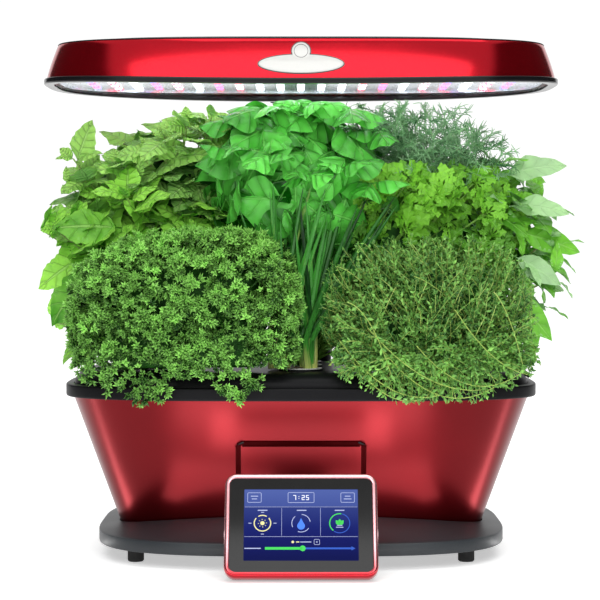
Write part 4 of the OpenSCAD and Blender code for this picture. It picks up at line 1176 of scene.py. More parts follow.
def gathered(shapes):
    """One shape from several, with their attributes end to end."""
    points, faces = joined([shape[:2] for shape in shapes])
    extra = {key: np.concatenate([shape[2][key] for shape in shapes]) for key in ("along", "across", "under")}
    return points, faces, extra


def lobed_leaf(length, width, seed=0):
    """A flat leaf of five pointed, toothed lobes on one stalk."""
    lobes = []
    for turn, scale, up in ((0, 1.0, 0.15), (0.8, 0.85, 0.08), (-0.8, 0.85, 0.08), (1.5, 0.6, 0.0),
                            (-1.5, 0.6, 0.0)):
        p, faces, extra = leaf_shape(length * scale, width * scale, 9, 1, 0.6, 0.15, 0.2, 3, 0.62, 0.9,
                                     stalk=2.0, blunt=0.9, seed=seed + int(turn * 10) + 20)
        c, s = math.cos(turn), math.sin(turn)
        p = np.column_stack([p[:, 0] * c - p[:, 1] * s, p[:, 0] * s + p[:, 1] * c + 3 + up * length, p[:, 2]])
        lobes.append((p, faces, extra))
    return gathered(lobes)


def tuft_shape(lobes, length, width, spread, seed):
    """A spray of small pointed lobes that leave one point, as the edge of a curled leaf does."""
    rng = np.random.default_rng(seed)
    parts = []
    for k in range(lobes):
        points, faces, extra = scale_leaf(length * rng.uniform(0.7, 1.15), width * rng.uniform(0.8, 1.2))
        points[:, 2] *= 2.0
        lean = spread * math.sqrt((k + 0.5) / lobes)
        turns = ((k * 2.4, "Y"), (lean, "X"), (rng.uniform(0, 6), "Y"))
        first, second, third = (Matrix.Rotation(angle, 3, axis) for angle, axis in turns)
        parts.append((points @ np.array(first @ second @ third).T, faces, extra))
    return gathered(parts)


def scale_leaf(length, width):
    """A tiny leaf of eight faces."""
    points = [(0, 0, 0), (-width / 2, length * 0.45, 0.1), (0, length * 0.5, 0.45),
              (width / 2, length * 0.45, 0.1), (0, length * 0.5, -0.2), (0, length, -0.1)]
    faces = flipped([(0, 3, 2), (0, 2, 1), (5, 2, 3), (5, 1, 2), (0, 4, 3), (0, 1, 4), (5, 3, 4), (5, 4, 1)])
    extra = {"along": [0, 0.45, 0.5, 0.45, 0.5, 1.0], "across": [0, -1, 0, 1, 0, 0.0], "under": [0.0] * 6}
    return np.array(points, float), faces, extra


def curve_through(start, end, bow, count=9):
    """Points of stems that leave start upwards and bend to end."""
    start, end = np.atleast_2d(start), np.atleast_2d(end)
    middle = np.column_stack([start[:, :2] + (end - start)[:, :2] * (1 - bow),
                              start[:, 2] + (end - start)[:, 2] * (0.45 + 0.3 * bow)])
    return bend(start[:, None], middle[:, None], end[:, None], np.linspace(0, 1, count)[None, :, None])


def point_on(line, share):
    """A path's point at a share of its length, and its direction there."""
    at = share * (len(line) - 1)
    i = min(int(at), len(line) - 2)
    return line[i] * (1 - at + i) + line[i + 1] * (at - i), unit(line[i + 1] - line[i])


def crown(rng, count, reach, jitter, outline, power, depth):
    """Places for stem tips across a herb: x, height, and how far each lies below the herb's outline."""
    x = np.linspace(*reach, count) + rng.normal(0, jitter, count)
    drop = rng.permutation(np.linspace(0, 1, count)) ** power * depth
    return x, np.interp(x, *outline) - drop, drop


class Herb:
    """Collects one herb's stems and leaves, and grows them as pieces that stand for its CAD solid."""

    sides = 5  # faces round a stem

    def __init__(self, name, pod, seed):
        self.name, self.rng = name, np.random.default_rng(seed)
        self.pod = np.array([*PODS[pod], HERB_Z - 1.0])
        self.paths, self.path_thick, self.path_tone = [], [], []
        self.spots, self.axes, self.normals, self.sizes, self.kinds, self.tones = [], [], [], [], [], []

    def stems(self, tips, thick=(1.1, 0.5), spread=6.0, bow=0.5, tone=0.5, count=9):
        """Adds stems from the pod to the tips, and returns their points."""
        start = self.pod + level(self.rng.normal(0, spread / 2.2, (len(tips), 2)), 0)
        lines = curve_through(start, tips, bow, count)
        for line in lines:
            self.add_path(line, np.linspace(*thick, count), tone)
        return lines

    def add_path(self, line, thick, tone):
        """Adds one stem, blade or thread, with its thickness and tone along it."""
        self.paths.append(np.asarray(line, float))
        self.path_thick.append(np.broadcast_to(thick, len(line)))
        self.path_tone.append(np.broadcast_to(tone, len(line)))

    def leaves(self, spots, axes, normals, sizes, kinds, tones):
        """Adds leaves at spots, which run along axes and face near normals."""
        n = len(spots)
        self.spots.append(np.asarray(spots, float))
        self.axes.append(np.broadcast_to(axes, (n, 3)))
        self.normals.append(np.broadcast_to(normals, (n, 3)))
        self.sizes.append(np.broadcast_to(sizes, n).astype(float))
        self.kinds.append(np.broadcast_to(kinds, n).astype(int))
        self.tones.append(np.broadcast_to(tones, n).astype(float))

    def pairs(self, line, shares, tilt, sizes, kinds, tones, face=(0, -0.25, 0.8), jitter=0.35):
        """Adds opposite leaves on a stem at shares of its length, each pair square to the last."""
        turn = self.rng.uniform(0, math.pi)
        for k, share in enumerate(shares):
            spot, run = point_on(line, share)
            side = unit(np.cross(run, (0.3, 0.9, 0.2)))
            other = np.cross(run, side)
            for half in (0, math.pi):
                a = turn + k * math.pi / 2 + half + self.rng.normal(0, 0.2)
                out = side * math.cos(a) + other * math.sin(a)
                axis = out * math.cos(tilt[k]) + run * math.sin(tilt[k]) + self.rng.normal(0, jitter * 0.5, 3)
                normal = run * 0.6 - out * math.sin(tilt[k]) + np.array(face) + self.rng.normal(0, jitter, 3)
                self.leaves([spot], axis, normal, sizes[k], self.rng.integers(kinds[0], kinds[1]),
                            tones[k] + self.rng.normal(0, 0.09))

    def finish(self, shapes, leaf_skin, stem_skin, reach, limits=(-240, 240, -114, 91, 371), keep=None,
               split=1, stem_split=1):
        """Drops what would leave the herb's room, and grows leaves and stems."""
        factors = bpy.context.scene.garden_sizes
        spots, axes = np.concatenate(self.spots), unit(np.concatenate(self.axes))
        sizes, kinds, tones = (np.concatenate(a) for a in (self.sizes, self.kinds, self.tones))
        normals = np.concatenate(self.normals)
        ends = spots + axes * (sizes * reach)[:, None]
        x, y, z = ends.T
        x0, x1, y0, y1, top = limits
        good = (x > x0) & (x < x1) & (y > y0) & (y < y1) & (z < top)
        floor = HERB_Z + 1 - 40 * (y < -98)  # lower in front of the deck's edge
        good &= (z > floor) & (spots[:, 2] > HERB_Z - 30) & (spots[:, 1] < y1 - 2)
        if keep is not None:
            good &= keep(spots) & keep(ends) & keep((spots + ends) / 2)
        turns = aim(axes, normals)
        spots, turns, sizes, kinds, tones = (a[good] for a in (spots, turns, sizes, kinds, tones))
        group = shape_set(self.name + "_leaf", shapes)
        values = {"Shapes": group, "Size": factors.leaf_scale, "Size Spread": 0.08, "Seed": 4,
                  "Material": leaf_skin}
        for name, part in self.shares("leaves", split):
            seeds = seed_mesh(spots[part] + (0, MID_Y, 0), turn=turns[part], size=sizes[part],
                              kind=kinds[part], tone=tones[part])
            self.plant(name, seeds, "spread", values)
        drop_shapes(group)
        values = {"Thickness": factors.stem_scale, "Sides": self.sides, "Material": stem_skin}
        for name, part in self.shares("stems", stem_split):
            lines = self.paths[part]
            starts = np.cumsum([0] + [len(line) for line in lines])
            edges = [(i, i + 1) for a, b in zip(starts, starts[1:]) for i in range(a, b - 1)]
            thick, tone = np.concatenate(self.path_thick[part]), np.concatenate(self.path_tone[part])
            seeds = seed_mesh(np.concatenate(lines) + (0, MID_Y, 0), edges, thick=thick, tone=tone)
            self.plant(name, seeds, "stalk", values)

    def shares(self, what, count):
        """Names and slices that part the herb's leaves or stems into pieces."""
        name = f"{self.name}_{what}"
        if count == 1:
            return [(name, slice(None))]
        return [(f"{name}_{k + 1}", slice(k, None, count)) for k in range(count)]

    def plant(self, name, seeds, tree, values):
        """Grows one piece of the herb from its seeds."""
        grow(name, seeds, TREES[tree], values, "base", replaces=["herb_" + self.name], slot="foliage")

    def heart(self, name, centre, radii, low):
        """A lumpy mass of inner leaves, which closes the gaps between the outer ones; its dark colour is
        painted shade.
        """
        work = bmesh.new()
        bmesh.ops.create_icosphere(work, subdivisions=5, radius=1.0)
        for vertex in work.verts:
            d = vertex.co.normalized()
            reach = sum(abs(c) ** 3 for c in d) ** (-1 / 3)
            spot = Vector(d * reach)
            lump = 1 + 0.1 * fractal(spot * 3.1, 0.8, 2.2, 3) + 0.05 * fractal(spot * 11.0, 0.8, 2.2, 2)
            spot = Vector([centre[i] + spot[i] * radii[i] * lump for i in range(3)])
            spot.z = max(spot.z, low)
            vertex.co = Vector((spot.x, spot.y + MID_Y, spot.z)) * MM
        mesh = bpy.data.meshes.new(name)
        work.to_mesh(mesh)
        work.free()
        point_outwards(mesh)
        adopt(name, mesh, FINISH["inner leaves"], "base", replaces=["herb_" + self.name],
              slot="foliage", sharp=80.0)


def leaf_finish(name, deep, bright, vein, pale, gloss=(0.35, 0.5), veins=7.0, blister=0.5, crinkle=260.0,
                rib=0.05, tip=0.0, puff=0.0, shine=0.3):
    """A leaf's skin: its own tone, a midrib with side veins, fine blisters and a paler underside, with
    painted shade in the dips between blisters and painted light towards the tip.
    """
    material, tree, shader = new_material(name, Specular_IOR_Level=shine)
    deep, bright, vein, pale = (linear(*colour) for colour in (deep, bright, vein, pale))
    tone, along, across, under = (add_node(tree, "ShaderNodeAttribute", attribute_name=key).outputs["Fac"]
                                  for key in ("tone", "along", "across", "under"))
    off = compute(tree, "ABSOLUTE", across)
    slant = compute(tree, "SUBTRACT", compute(tree, "MULTIPLY", along, veins),
                    compute(tree, "MULTIPLY", off, 1.6))
    stripe = compute(tree, "ABSOLUTE", compute(tree, "PINGPONG", slant, 1.0))
    side_vein = span(tree, stripe, 1.0, 0.0, 0.0, 0.16)
    midrib = span(tree, off, 1.0, 0.0, rib, rib * 2.2)
    ribs = compute(tree, "MAXIMUM", compute(tree, "MULTIPLY", side_vein, 0.45), midrib)
    swell = compute(tree, "SINE", compute(tree, "MULTIPLY", stripe, math.pi / 2))
    cloud = noise(tree, 45.0, 3)
    # Painted light and shade: swell lightens the tone on the blisters and darkens it in the dips by the
    # veins, and along lightens it towards the tip and darkens it at the foot.
    for change in (span(tree, cloud, -0.18, 0.18, 0.3, 0.7), span(tree, swell, -0.1 * puff, 0.05 * puff),
                   span(tree, along, -tip, tip)):
        tone = compute(tree, "ADD", tone, change)
    skin = ramp(tree, tone, (0.05, deep), (0.95, bright))
    skin = mix(tree, compute(tree, "MULTIPLY", ribs, 0.55), skin, (*vein, 1))
    skin = mix(tree, compute(tree, "MULTIPLY", under, 0.6), skin, (*pale, 1))
    inputs = {"Vector": place(tree), "Scale": crinkle}
    cells = add_node(tree, "ShaderNodeTexVoronoi", inputs, feature="SMOOTH_F1")
    height = compute(tree, "MULTIPLY", cells.outputs["Distance"], -0.6)
    height = compute(tree, "ADD", height, compute(tree, "MULTIPLY", ribs, -0.7))
    height = compute(tree, "ADD", height, compute(tree, "MULTIPLY", swell, puff))
    dress(tree, shader, skin, span(tree, cloud, *gloss, 0.3, 0.7), bump(tree, height, blister, 0.0012))
    return material


def stem_finish(name, low, high, gloss=(0.4, 0.55), middle=None, depth=0.15):
    """A stem's skin, darker or paler along its own length."""
    material, tree, shader = new_material(name)
    tone = add_node(tree, "ShaderNodeAttribute", attribute_name="tone").outputs["Fac"]
    streaks = noise(tree, 500.0, 2, (1, 1, 0.08))
    shade = compute(tree, "ADD", tone, span(tree, streaks, -0.12, 0.12, 0.3, 0.7))
    stops = [(0.0, linear(*low)), (1.0, linear(*high))]
    if middle:
        stops.insert(1, (0.55, linear(*middle)))
    dress(tree, shader, ramp(tree, shade, *stops), span(tree, streaks, *gloss),
          bump(tree, streaks, depth, 0.0004))
    return material


# ---- herbs ----


def shell_points(rng, centre, radii, count, power=2.6, depth=0.25):
    """Points near the skin of a squarish blob, with their outward directions."""
    k = np.arange(count) + 0.5
    z, turn = 1 - 2 * k / count, k * math.pi * (3 - math.sqrt(5))
    d = np.column_stack([np.sqrt(1 - z * z) * np.cos(turn), np.sqrt(1 - z * z) * np.sin(turn), z])
    d = unit(d + rng.normal(0, 0.8 / math.sqrt(count), (count, 3)))
    r = (np.abs(d) ** power).sum(1) ** (-1 / power)
    share = 1 - depth * rng.uniform(0, 1, count) ** 1.5
    out = unit(d / np.asarray(radii))
    return np.asarray(centre) + d * r[:, None] * np.asarray(radii) * share[:, None], out


class GARDEN_OT_mint(bpy.types.Operator):
    """Grows the mint: serrated leaves in pairs, yellow-green at the tips"""

    bl_idname = "garden.mint"
    bl_label = "Mint"

    def execute(self, context):
        herb = Herb("mint", 6, 11)
        rng = herb.rng
        outline = ([-200, -180, -142, -110, -99, -78, -60, -35], [312, 334, 344, 346, 352, 358, 350, 338])
        x, z, drop = crown(rng, 50, (-196, -34), 5, outline, 1.5, 88)
        tips = np.column_stack([x, rng.uniform(-8, 78, len(x)), z])
        shares, fade = np.linspace(0.42, 0.97, 6), np.linspace(0, 1, 6)
        tilt = np.interp(fade, [0, 1], [0.1, 0.5])
        sizes = np.interp(fade, [0, 0.5, 1], [0.95, 1.2, 0.95])
        for line, low in zip(herb.stems(tips, (1.3, 0.7), 9, 0.62, 0.5, 12), drop):
            # Leaves rise in tone towards each stem's young tip, their own paler green; stems that end deep
            # below the crown get darker leaves, painted shade of the plant's inside.
            deep = 0.34 * (low > 34)
            youth_and_shade_tone = np.interp(fade, [0, 0.6, 1], [0.16, 0.54, 0.9]) - deep * fade
            herb.pairs(line, shares, tilt, sizes, (0, 4), youth_and_shade_tone, (0, -0.8, 0.5))
            herb.pairs(line, [0.98, 0.999], [0.45, 1.0], [0.72, 0.42], (0, 4), [0.95 - deep, 1.15 - deep],
                       (0, -0.6, 0.5))
        shapes = [leaf_shape(29 + 2 * i, 23 + i, 15, 2, 0.42, 0.1, 0.22 + 0.08 * (i % 3), 7, 0.17, 1.1,
                             -0.3, 3, seed=i) for i in range(4)]
        skin = leaf_finish("mint leaf", (16, 92, 46), (172, 232, 108), (178, 226, 130),
                           (140, 200, 120), (0.4, 0.54), 12, 1.2, 300.0, puff=0.45)
        stem = stem_finish("mint stem", (70, 130, 50), (180, 200, 110))
        herb.heart("mint_heart", (-112, 34, 262), (62, 32, 60), 190)
        herb.finish(shapes, skin, stem, 34, (-206, -20, -28, 91, 368), split=2)
        return {"FINISHED"}


class GARDEN_OT_basil(bpy.types.Operator):
    """Grows the basil: big puffed leaves that overlap and droop"""

    bl_idname = "garden.basil"
    bl_label = "Basil"

    def execute(self, context):
        herb = Herb("basil", 7, 5)
        rng = herb.rng
        depths, heights = rng.uniform(-44, 50, 22), rng.uniform(270, 318, 22)
        tips = np.column_stack([np.linspace(-56, 50, 22), depths, heights])
        herb.stems(tips, (2.0, 1.1), 8, 0.5, 0.5, 10)
        # The inner layer's lower tone is painted shade under the outer leaves.
        for count, shrink, shade in ((190, 1.0, 0.0), (80, 0.78, -0.25)):
            spots, outs = shell_points(rng, (-4, 4, 296), np.array((70, 62, 66)) * shrink, count, 2.5, 0.12)
            keep = (outs[:, 2] > -0.75) & ((outs[:, 1] < 0.45) | (outs[:, 2] > 0.3))
            self.tiles(herb, spots[keep], outs[keep], shade)
        clusters = [(-52, -10, 352, 0.8), (-30, -26, 361, 0.9), (2, -32, 362, 0.8), (38, -24, 361, 0.9),
                    (60, -16, 344, 0.8), (6, -66, 306, 0.7), (-58, -34, 326, 0.8), (34, -62, 312, 0.7),
                    (-14, -14, 366, 0.7), (20, -12, 366, 0.7), (-24, -62, 322, 0.7), (58, -40, 300, 0.8)]
        for x, y, z, size in clusters:
            turn = rng.uniform(0, 6) + np.arange(5) * TURN / 5
            axes = np.column_stack([np.cos(turn), np.sin(turn) * 0.8 - 0.15, rng.uniform(-0.15, 0.45, 5)])
            herb.leaves(np.tile((x, y, z), (5, 1)), axes, (0, -0.55, 0.8) + rng.normal(0, 0.2, (5, 3)),
                        size * rng.uniform(0.7, 1.05, 5), rng.integers(0, 4, 5), rng.uniform(0.5, 1.0, 5))
        shapes = [leaf_shape(38 + 2 * i, 34 + 2 * i, 15, 3, 0.43, -0.14, 0.2 + 0.08 * (i % 3), 0, 0, 0.8,
                             -1.0, 5, blunt=0.82, seed=10 + i) for i in range(4)]
        skin = leaf_finish("basil leaf", (4, 80, 2), (112, 232, 88), (128, 220, 100),
                           (96, 180, 70), (0.24, 0.36), 7, 1.0, 120.0, 0.035, puff=0.9, shine=0.35)
        stem = stem_finish("basil stem", (60, 130, 40), (140, 190, 90))
        herb.heart("basil_heart", (-4, 6, 268), (50, 44, 68), 170)
        herb.finish(shapes, skin, stem, 50, (-100, 88, -92, 88, 373))
        return {"FINISHED"}

    def tiles(self, herb, spots, outs, shade):
        """Adds leaves that lie over a rounded crown with their tips down and outwards, lighter the higher
        they sit as painted light, and darker by shade as painted shade.
        """
        rng, count = herb.rng, len(spots)
        down = np.column_stack([spots[:, 0] * 0.014, np.full(count, -0.3), np.full(count, -0.5)])
        down = down + rng.normal(0, 0.6, (count, 3))
        axes = unit(down - outs * (down * outs).sum(1)[:, None]) + outs * rng.uniform(-0.1, 0.6, (count, 1))
        # Leaves are lighter the higher they sit: painted light from above.
        high = np.clip((spots[:, 2] - 262) / 90, 0, 1)
        tones = 0.4 + 0.3 * high + shade + rng.normal(0, 0.17, count)
        herb.leaves(spots - unit(axes) * 20, axes, outs + rng.normal(0, 0.36, (count, 3)) + (0, -0.1, 0.15),
                    rng.uniform(0.75, 1.2, count), rng.integers(0, 4, count), np.clip(tones, 0, 1))


class GARDEN_OT_dill(bpy.types.Operator):
    """Grows the dill: grey-green fronds of fine threads"""

    bl_idname = "garden.dill"
    bl_label = "Dill"

    def execute(self, context):
        herb = Herb("dill", 8, 21)
        herb.sides = 3
        rng = herb.rng
        outline = ([35, 55, 80, 100, 130, 150, 165], [352, 362, 366, 364, 352, 340, 322])
        x, z, _ = crown(rng, 66, (40, 158), 5, outline, 1.5, 52)
        tips = np.column_stack([x, rng.uniform(-34, 78, len(x)), z])
        for line in herb.stems(tips, (1.0, 0.4), 8, 0.5, 0.4, 14):
            self.frond(herb, line)
        herb.leaves([herb.pod + (0, 0, 4)], (0, 0, 1), (0, -1, 0), 0.4, 0, 0.5)
        skin = leaf_finish("dill bud", (70, 120, 70), (120, 170, 120), (130, 180, 130),
                           (120, 170, 120), shine=0.5)
        stem = stem_finish("dill thread", (34, 108, 48), (172, 222, 164), (0.5, 0.65))
        herb.finish([scale_leaf(10, 3)], skin, stem, 10, stem_split=2)
        return {"FINISHED"}

    def frond(self, herb, line):
        """Adds side ribs to the upper part of a stem, and threads to each rib."""
        rng = herb.rng
        for share in np.linspace(0.62, 1.0, 8):
            spot, run = point_on(line, share)
            for _ in range(2 if share < 1 else 3):
                out = unit(np.cross(run, rng.normal(0, 1, 3)))
                way = unit(out + run * (0.5 if share < 1 else 1.2))
                length = rng.uniform(17, 27) * (1.35 - 0.6 * share)
                tone = float(np.clip(rng.normal(0.5, 0.2), 0, 1))
                end = spot + way * length + (0, 0, -2)
                if end[2] > 369 or abs(end[0]) > 236 or end[1] > 88:
                    continue
                rib = np.array([spot, spot * 0.5 + end * 0.5 + (0, 0, 1.5), end])
                herb.add_path(rib, [0.5, 0.4, 0.28], tone)
                for base in [bend(*rib, t) for t in np.linspace(0.25, 1, 6)]:
                    for _ in range(2):
                        fork = unit(way * 0.8 + rng.normal(0, 0.65, 3)) * rng.uniform(5, 9)
                        if base[2] + fork[2] < 370:
                            thread = np.array([base, base + fork * 0.6, base + fork + (0, 0, -0.4)])
                            herb.add_path(thread, [0.42, 0.36, 0.18], tone)


class GARDEN_OT_thai_basil(bpy.types.Operator):
    """Grows the Thai basil: long pointed leaves with pale undersides"""

    bl_idname = "garden.thai_basil"
    bl_label = "Thai basil"

    def execute(self, context):
        herb = Herb("thai_basil", 5, 31)
        rng = herb.rng
        outline = ([115, 140, 165, 190, 215], [304, 314, 320, 308, 274])
        x, z, _ = crown(rng, 34, (126, 212), 4, outline, 1.2, 108)
        count = len(x)
        y = np.where((x < 200) & (z < 240), rng.choice([-1, 1], count) * rng.uniform(20, 27, count),
                     rng.uniform(-24, 22, count))
        fade = np.linspace(0, 1, 5)
        tilt = np.interp(fade, [0, 1], [-0.3, 0.5])
        sizes = np.interp(fade, [0, 0.6, 1], [0.85, 1.0, 0.6])
        tones = np.interp(fade, [0, 1], [0.25, 0.8])
        for line in herb.stems(np.column_stack([x, y, z]), (1.5, 0.8), 6, 0.6, 0.6, 12):
            self.bend_past_lid(line)
            herb.pairs(line, np.linspace(0.52, 1, 5), tilt, sizes, (0, 5), tones, (0.2, -0.6, 0.6))
        out = np.array([(1, -0.2, 0.35), (1, -0.3, 0.05), (1, -0.1, -0.25), (0.9, -0.4, -0.5),
                        (0.7, -0.5, 0.3), (0.9, -0.3, -0.8), (0.5, -0.5, -0.9)])
        spots = np.array([(164, -20, 306), (170, -24, 282), (175, -18, 262), (173, -26, 242), (138, -34, 296),
                          (168, -26, 212), (162, -28, 190)])
        herb.leaves(spots, out, (-0.1, -0.9, 0.5) + rng.normal(0, 0.15, (7, 3)), rng.uniform(1.0, 1.2, 7),
                    [4, 4, 1, 4, 4, 2, 4], rng.uniform(0.5, 0.9, 7))
        shapes = [leaf_shape(42 + 3 * (i % 4), 21 + i % 4, 14, 2, 0.42, 0.16, 0.2 + 0.1 * (i % 3), 6, 0.07,
                             1.6, 0, 6, seed=30 + i) for i in range(5)]
        shapes[4][2]["under"][:] = 1.0
        skin = leaf_finish("thai basil leaf", (30, 104, 8), (132, 214, 66), (150, 214, 100),
                           (196, 228, 186), (0.34, 0.46), 9, 0.5, 220.0, puff=0.8)
        stem = stem_finish("thai basil stem", (110, 100, 60), (150, 180, 90))
        herb.finish(shapes, skin, stem, 48, (96, 236, -50, 60, 340), self.clear_of_lid)
        return {"FINISHED"}

    def clear_of_lid(self, p):
        """True outside the arc that the water lid sweeps."""
        reach = np.hypot(p[:, 0] - HINGE_X, p[:, 2] - DECK_TOP)
        return ~((np.abs(p[:, 1]) < 33) & (p[:, 0] > 117) & (reach < LID_REACH))

    def bend_past_lid(self, line):
        """Moves a stem's points sideways where the lid would sweep them."""
        reach = np.hypot(line[:, 0] - HINGE_X, line[:, 2] - DECK_TOP)
        near = np.clip((LID_REACH - reach) / 16, 0, 1) * np.clip((line[:, 0] - 112) / 7, 0, 1)
        side = np.where(line[6, 1] < 0, -1.0, 1.0)
        line[:, 1] += near * (side * np.maximum(side * line[:, 1], 25.5) - line[:, 1])


class GARDEN_OT_lemon_balm(bpy.types.Operator):
    """Grows the lemon balm: broad crinkled leaves"""

    bl_idname = "garden.lemon_balm"
    bl_label = "Lemon balm"

    def execute(self, context):
        herb = Herb("lemon_balm", 3, 41)
        rng = herb.rng
        outline = ([-210, -185, -160, -120, -80, -40], [262, 282, 294, 292, 288, 284])
        x, z, _ = crown(rng, 44, (-208, -40), 4, outline, 1.5, 85)
        tips = np.column_stack([x, rng.uniform(-26, 24, len(x)), z])
        fade = np.linspace(0, 1, 6)
        tilt = np.interp(fade, [0, 1], [0.0, 0.6])
        sizes = np.interp(fade, [0, 0.6, 1], [0.95, 1.05, 0.7])
        tones = np.interp(fade, [0, 1], [0.45, 1.05])
        for line in herb.stems(tips, (1.3, 0.7), 8, 0.62, 0.5, 12):
            herb.pairs(line, np.linspace(0.45, 1, 6), tilt, sizes, (0, 4), tones, (0, -0.95, 0.45))
            herb.pairs(line, [0.96, 0.999], [0.5, 1.0], [0.55, 0.34], (0, 4), [0.9, 1.0], (0, -0.6, 0.5))
        out = np.array([(-1, -0.4, 0.1), (-0.8, -0.6, -0.1), (-0.7, -0.5, -0.7), (-0.3, -0.9, -0.2),
                        (-0.5, -0.7, -0.6)])
        spots = [(-146, -30, 264), (-116, -34, 244), (-172, -24, 228), (-92, -36, 262), (-156, -34, 240)]
        herb.leaves(spots, out, (-0.1, -0.9, 0.5) + rng.normal(0, 0.12, (5, 3)), (1.35, 1.4, 1.15, 1.0, 1.2),
                    [1, 3, 2, 0, 2], (0.45, 0.4, 0.3, 0.5, 0.35))
        shapes = [leaf_shape(34 + 3 * i, 25 + 2 * i, 17, 2, 0.4, 0.08, 0.24 + 0.06 * (i % 3), 8, 0.16, 1.3,
                             -0.3, 5, seed=40 + i) for i in range(4)]
        skin = leaf_finish("lemon balm leaf", (34, 124, 12), (160, 232, 84), (160, 214, 110),
                           (130, 196, 96), (0.4, 0.54), 10, 1.1, 260.0, puff=0.5)
        stem = stem_finish("lemon balm stem", (90, 130, 60), (160, 190, 100))
        herb.heart("lemon_balm_heart", (-122, 0, 216), (58, 26, 44), 166)
        herb.finish(shapes, skin, stem, 42, (-214, -20, -62, 60, 318), split=2)
        return {"FINISHED"}


class GARDEN_OT_flat_parsley(bpy.types.Operator):
    """Grows the flat parsley: leaves of three lobes on thin stalks"""

    bl_idname = "garden.flat_parsley"
    bl_label = "Flat parsley"

    def execute(self, context):
        herb = Herb("flat_parsley", 4, 51)
        rng = herb.rng
        count = 150
        x = rng.uniform(44, 172, count)
        top = np.interp(x, [40, 70, 100, 140, 172], [286, 304, 306, 302, 286])
        z = top - rng.uniform(0, 1, count) ** 1.3 * 74
        tips = np.column_stack([x, rng.uniform(-38, 4, count), z])
        lines = herb.stems(tips, (0.9, 0.6), 8, 0.5, 0.6, 9)
        ends = lines[:, -1]
        run = unit(lines[:, -1] - lines[:, -2])
        for size, tilt in ((1.0, 0.2), (0.8, 1.2), (0.8, -1.2)):
            side = np.cross(run, (0, 1, 0)) * math.sin(tilt)
            axes = run * math.cos(tilt) + side + rng.normal(0, 0.3, (count, 3))
            normals = np.array([0, -0.9, 0.6]) + rng.normal(0, 0.4, (count, 3))
            # Leaves higher up are lighter, painted light from above; the random part is their own tone.
            herb.leaves(ends, axes, normals, size * rng.uniform(0.75, 1.15, count), rng.integers(0, 4, count),
                        np.clip(0.4 + (ends[:, 2] - 240) / 130 + rng.normal(0, 0.2, count), 0, 1))
        shapes = [lobed_leaf(15 + i, 13 + i, i * 7) for i in range(4)]
        skin = leaf_finish("flat parsley leaf", (18, 96, 4), (140, 216, 62), (140, 206, 80),
                           (130, 196, 90), (0.34, 0.46), 6, 0.4, 260.0, puff=0.6)
        stem = stem_finish("flat parsley stem", (80, 140, 40), (150, 195, 90))
        herb.heart("flat_parsley_heart", (98, -10, 238), (46, 20, 50), 206)
        herb.finish(shapes, skin, stem, 22, (36, 196, -66, 40, 318))
        return {"FINISHED"}


class GARDEN_OT_chives(bpy.types.Operator):
    """Grows the chives: two tufts of long hollow blades"""

    bl_idname = "garden.chives"
    bl_label = "Chives"

    def execute(self, context):
        herb = Herb("chives", 1, 61)
        herb.sides = 7
        rng = herb.rng
        for foot_x, low, high, count in ((-15.0, -50, 22, 17), (8.0, -16, 80, 22)):
            lean = np.linspace(low, high, count) + rng.normal(0, 4, count)
            for k in range(count):
                foot = np.array([foot_x + rng.normal(0, 3.2), -46 + rng.normal(0, 3.2), HERB_Z - 0.5])
                height = rng.uniform(112, 158) * (1 - 0.0016 * abs(lean[k] - 8))
                tip = np.array([lean[k], foot[1] + rng.uniform(-24, 14), HERB_Z + height])
                self.blade(herb, foot, tip, rng.uniform(1.9, 3.1))
        herb.leaves([herb.pod + (0, 0, 3)], (0, 0, 1), (0, -1, 0), 0.5, 0, 0.5)
        skin = leaf_finish("chive sheath", (90, 130, 60), (190, 205, 130), (190, 205, 140),
                           (190, 205, 140), shine=0.5)
        stem = stem_finish("chive blade", (2, 44, 8), (206, 212, 120), (0.3, 0.42),
                           (66, 150, 52), 0.4)
        herb.finish([scale_leaf(12, 4)], skin, stem, 12)
        return {"FINISHED"}

    def blade(self, herb, foot, tip, wide):
        """Adds one blade: upright at its foot, then leaning out to a point."""
        t = np.linspace(0, 1, 12)[:, None]
        rise = foot + (tip - foot) * t
        rise[:, :2] -= (tip - foot)[:2] * 0.32 * (1 - t) * np.minimum(t * 5, 1)
        thick = wide * np.interp(t[:, 0], [0, 0.12, 0.5, 0.85, 1], [1.1, 0.95, 1.0, 0.6, 0.08])
        tone = np.interp(t[:, 0], [0, 0.1, 0.2, 1], [1.0, 0.8, 0.42, 0.28]) + herb.rng.normal(0, 0.17)
        herb.add_path(rise, thick, np.clip(tone, 0, 1))


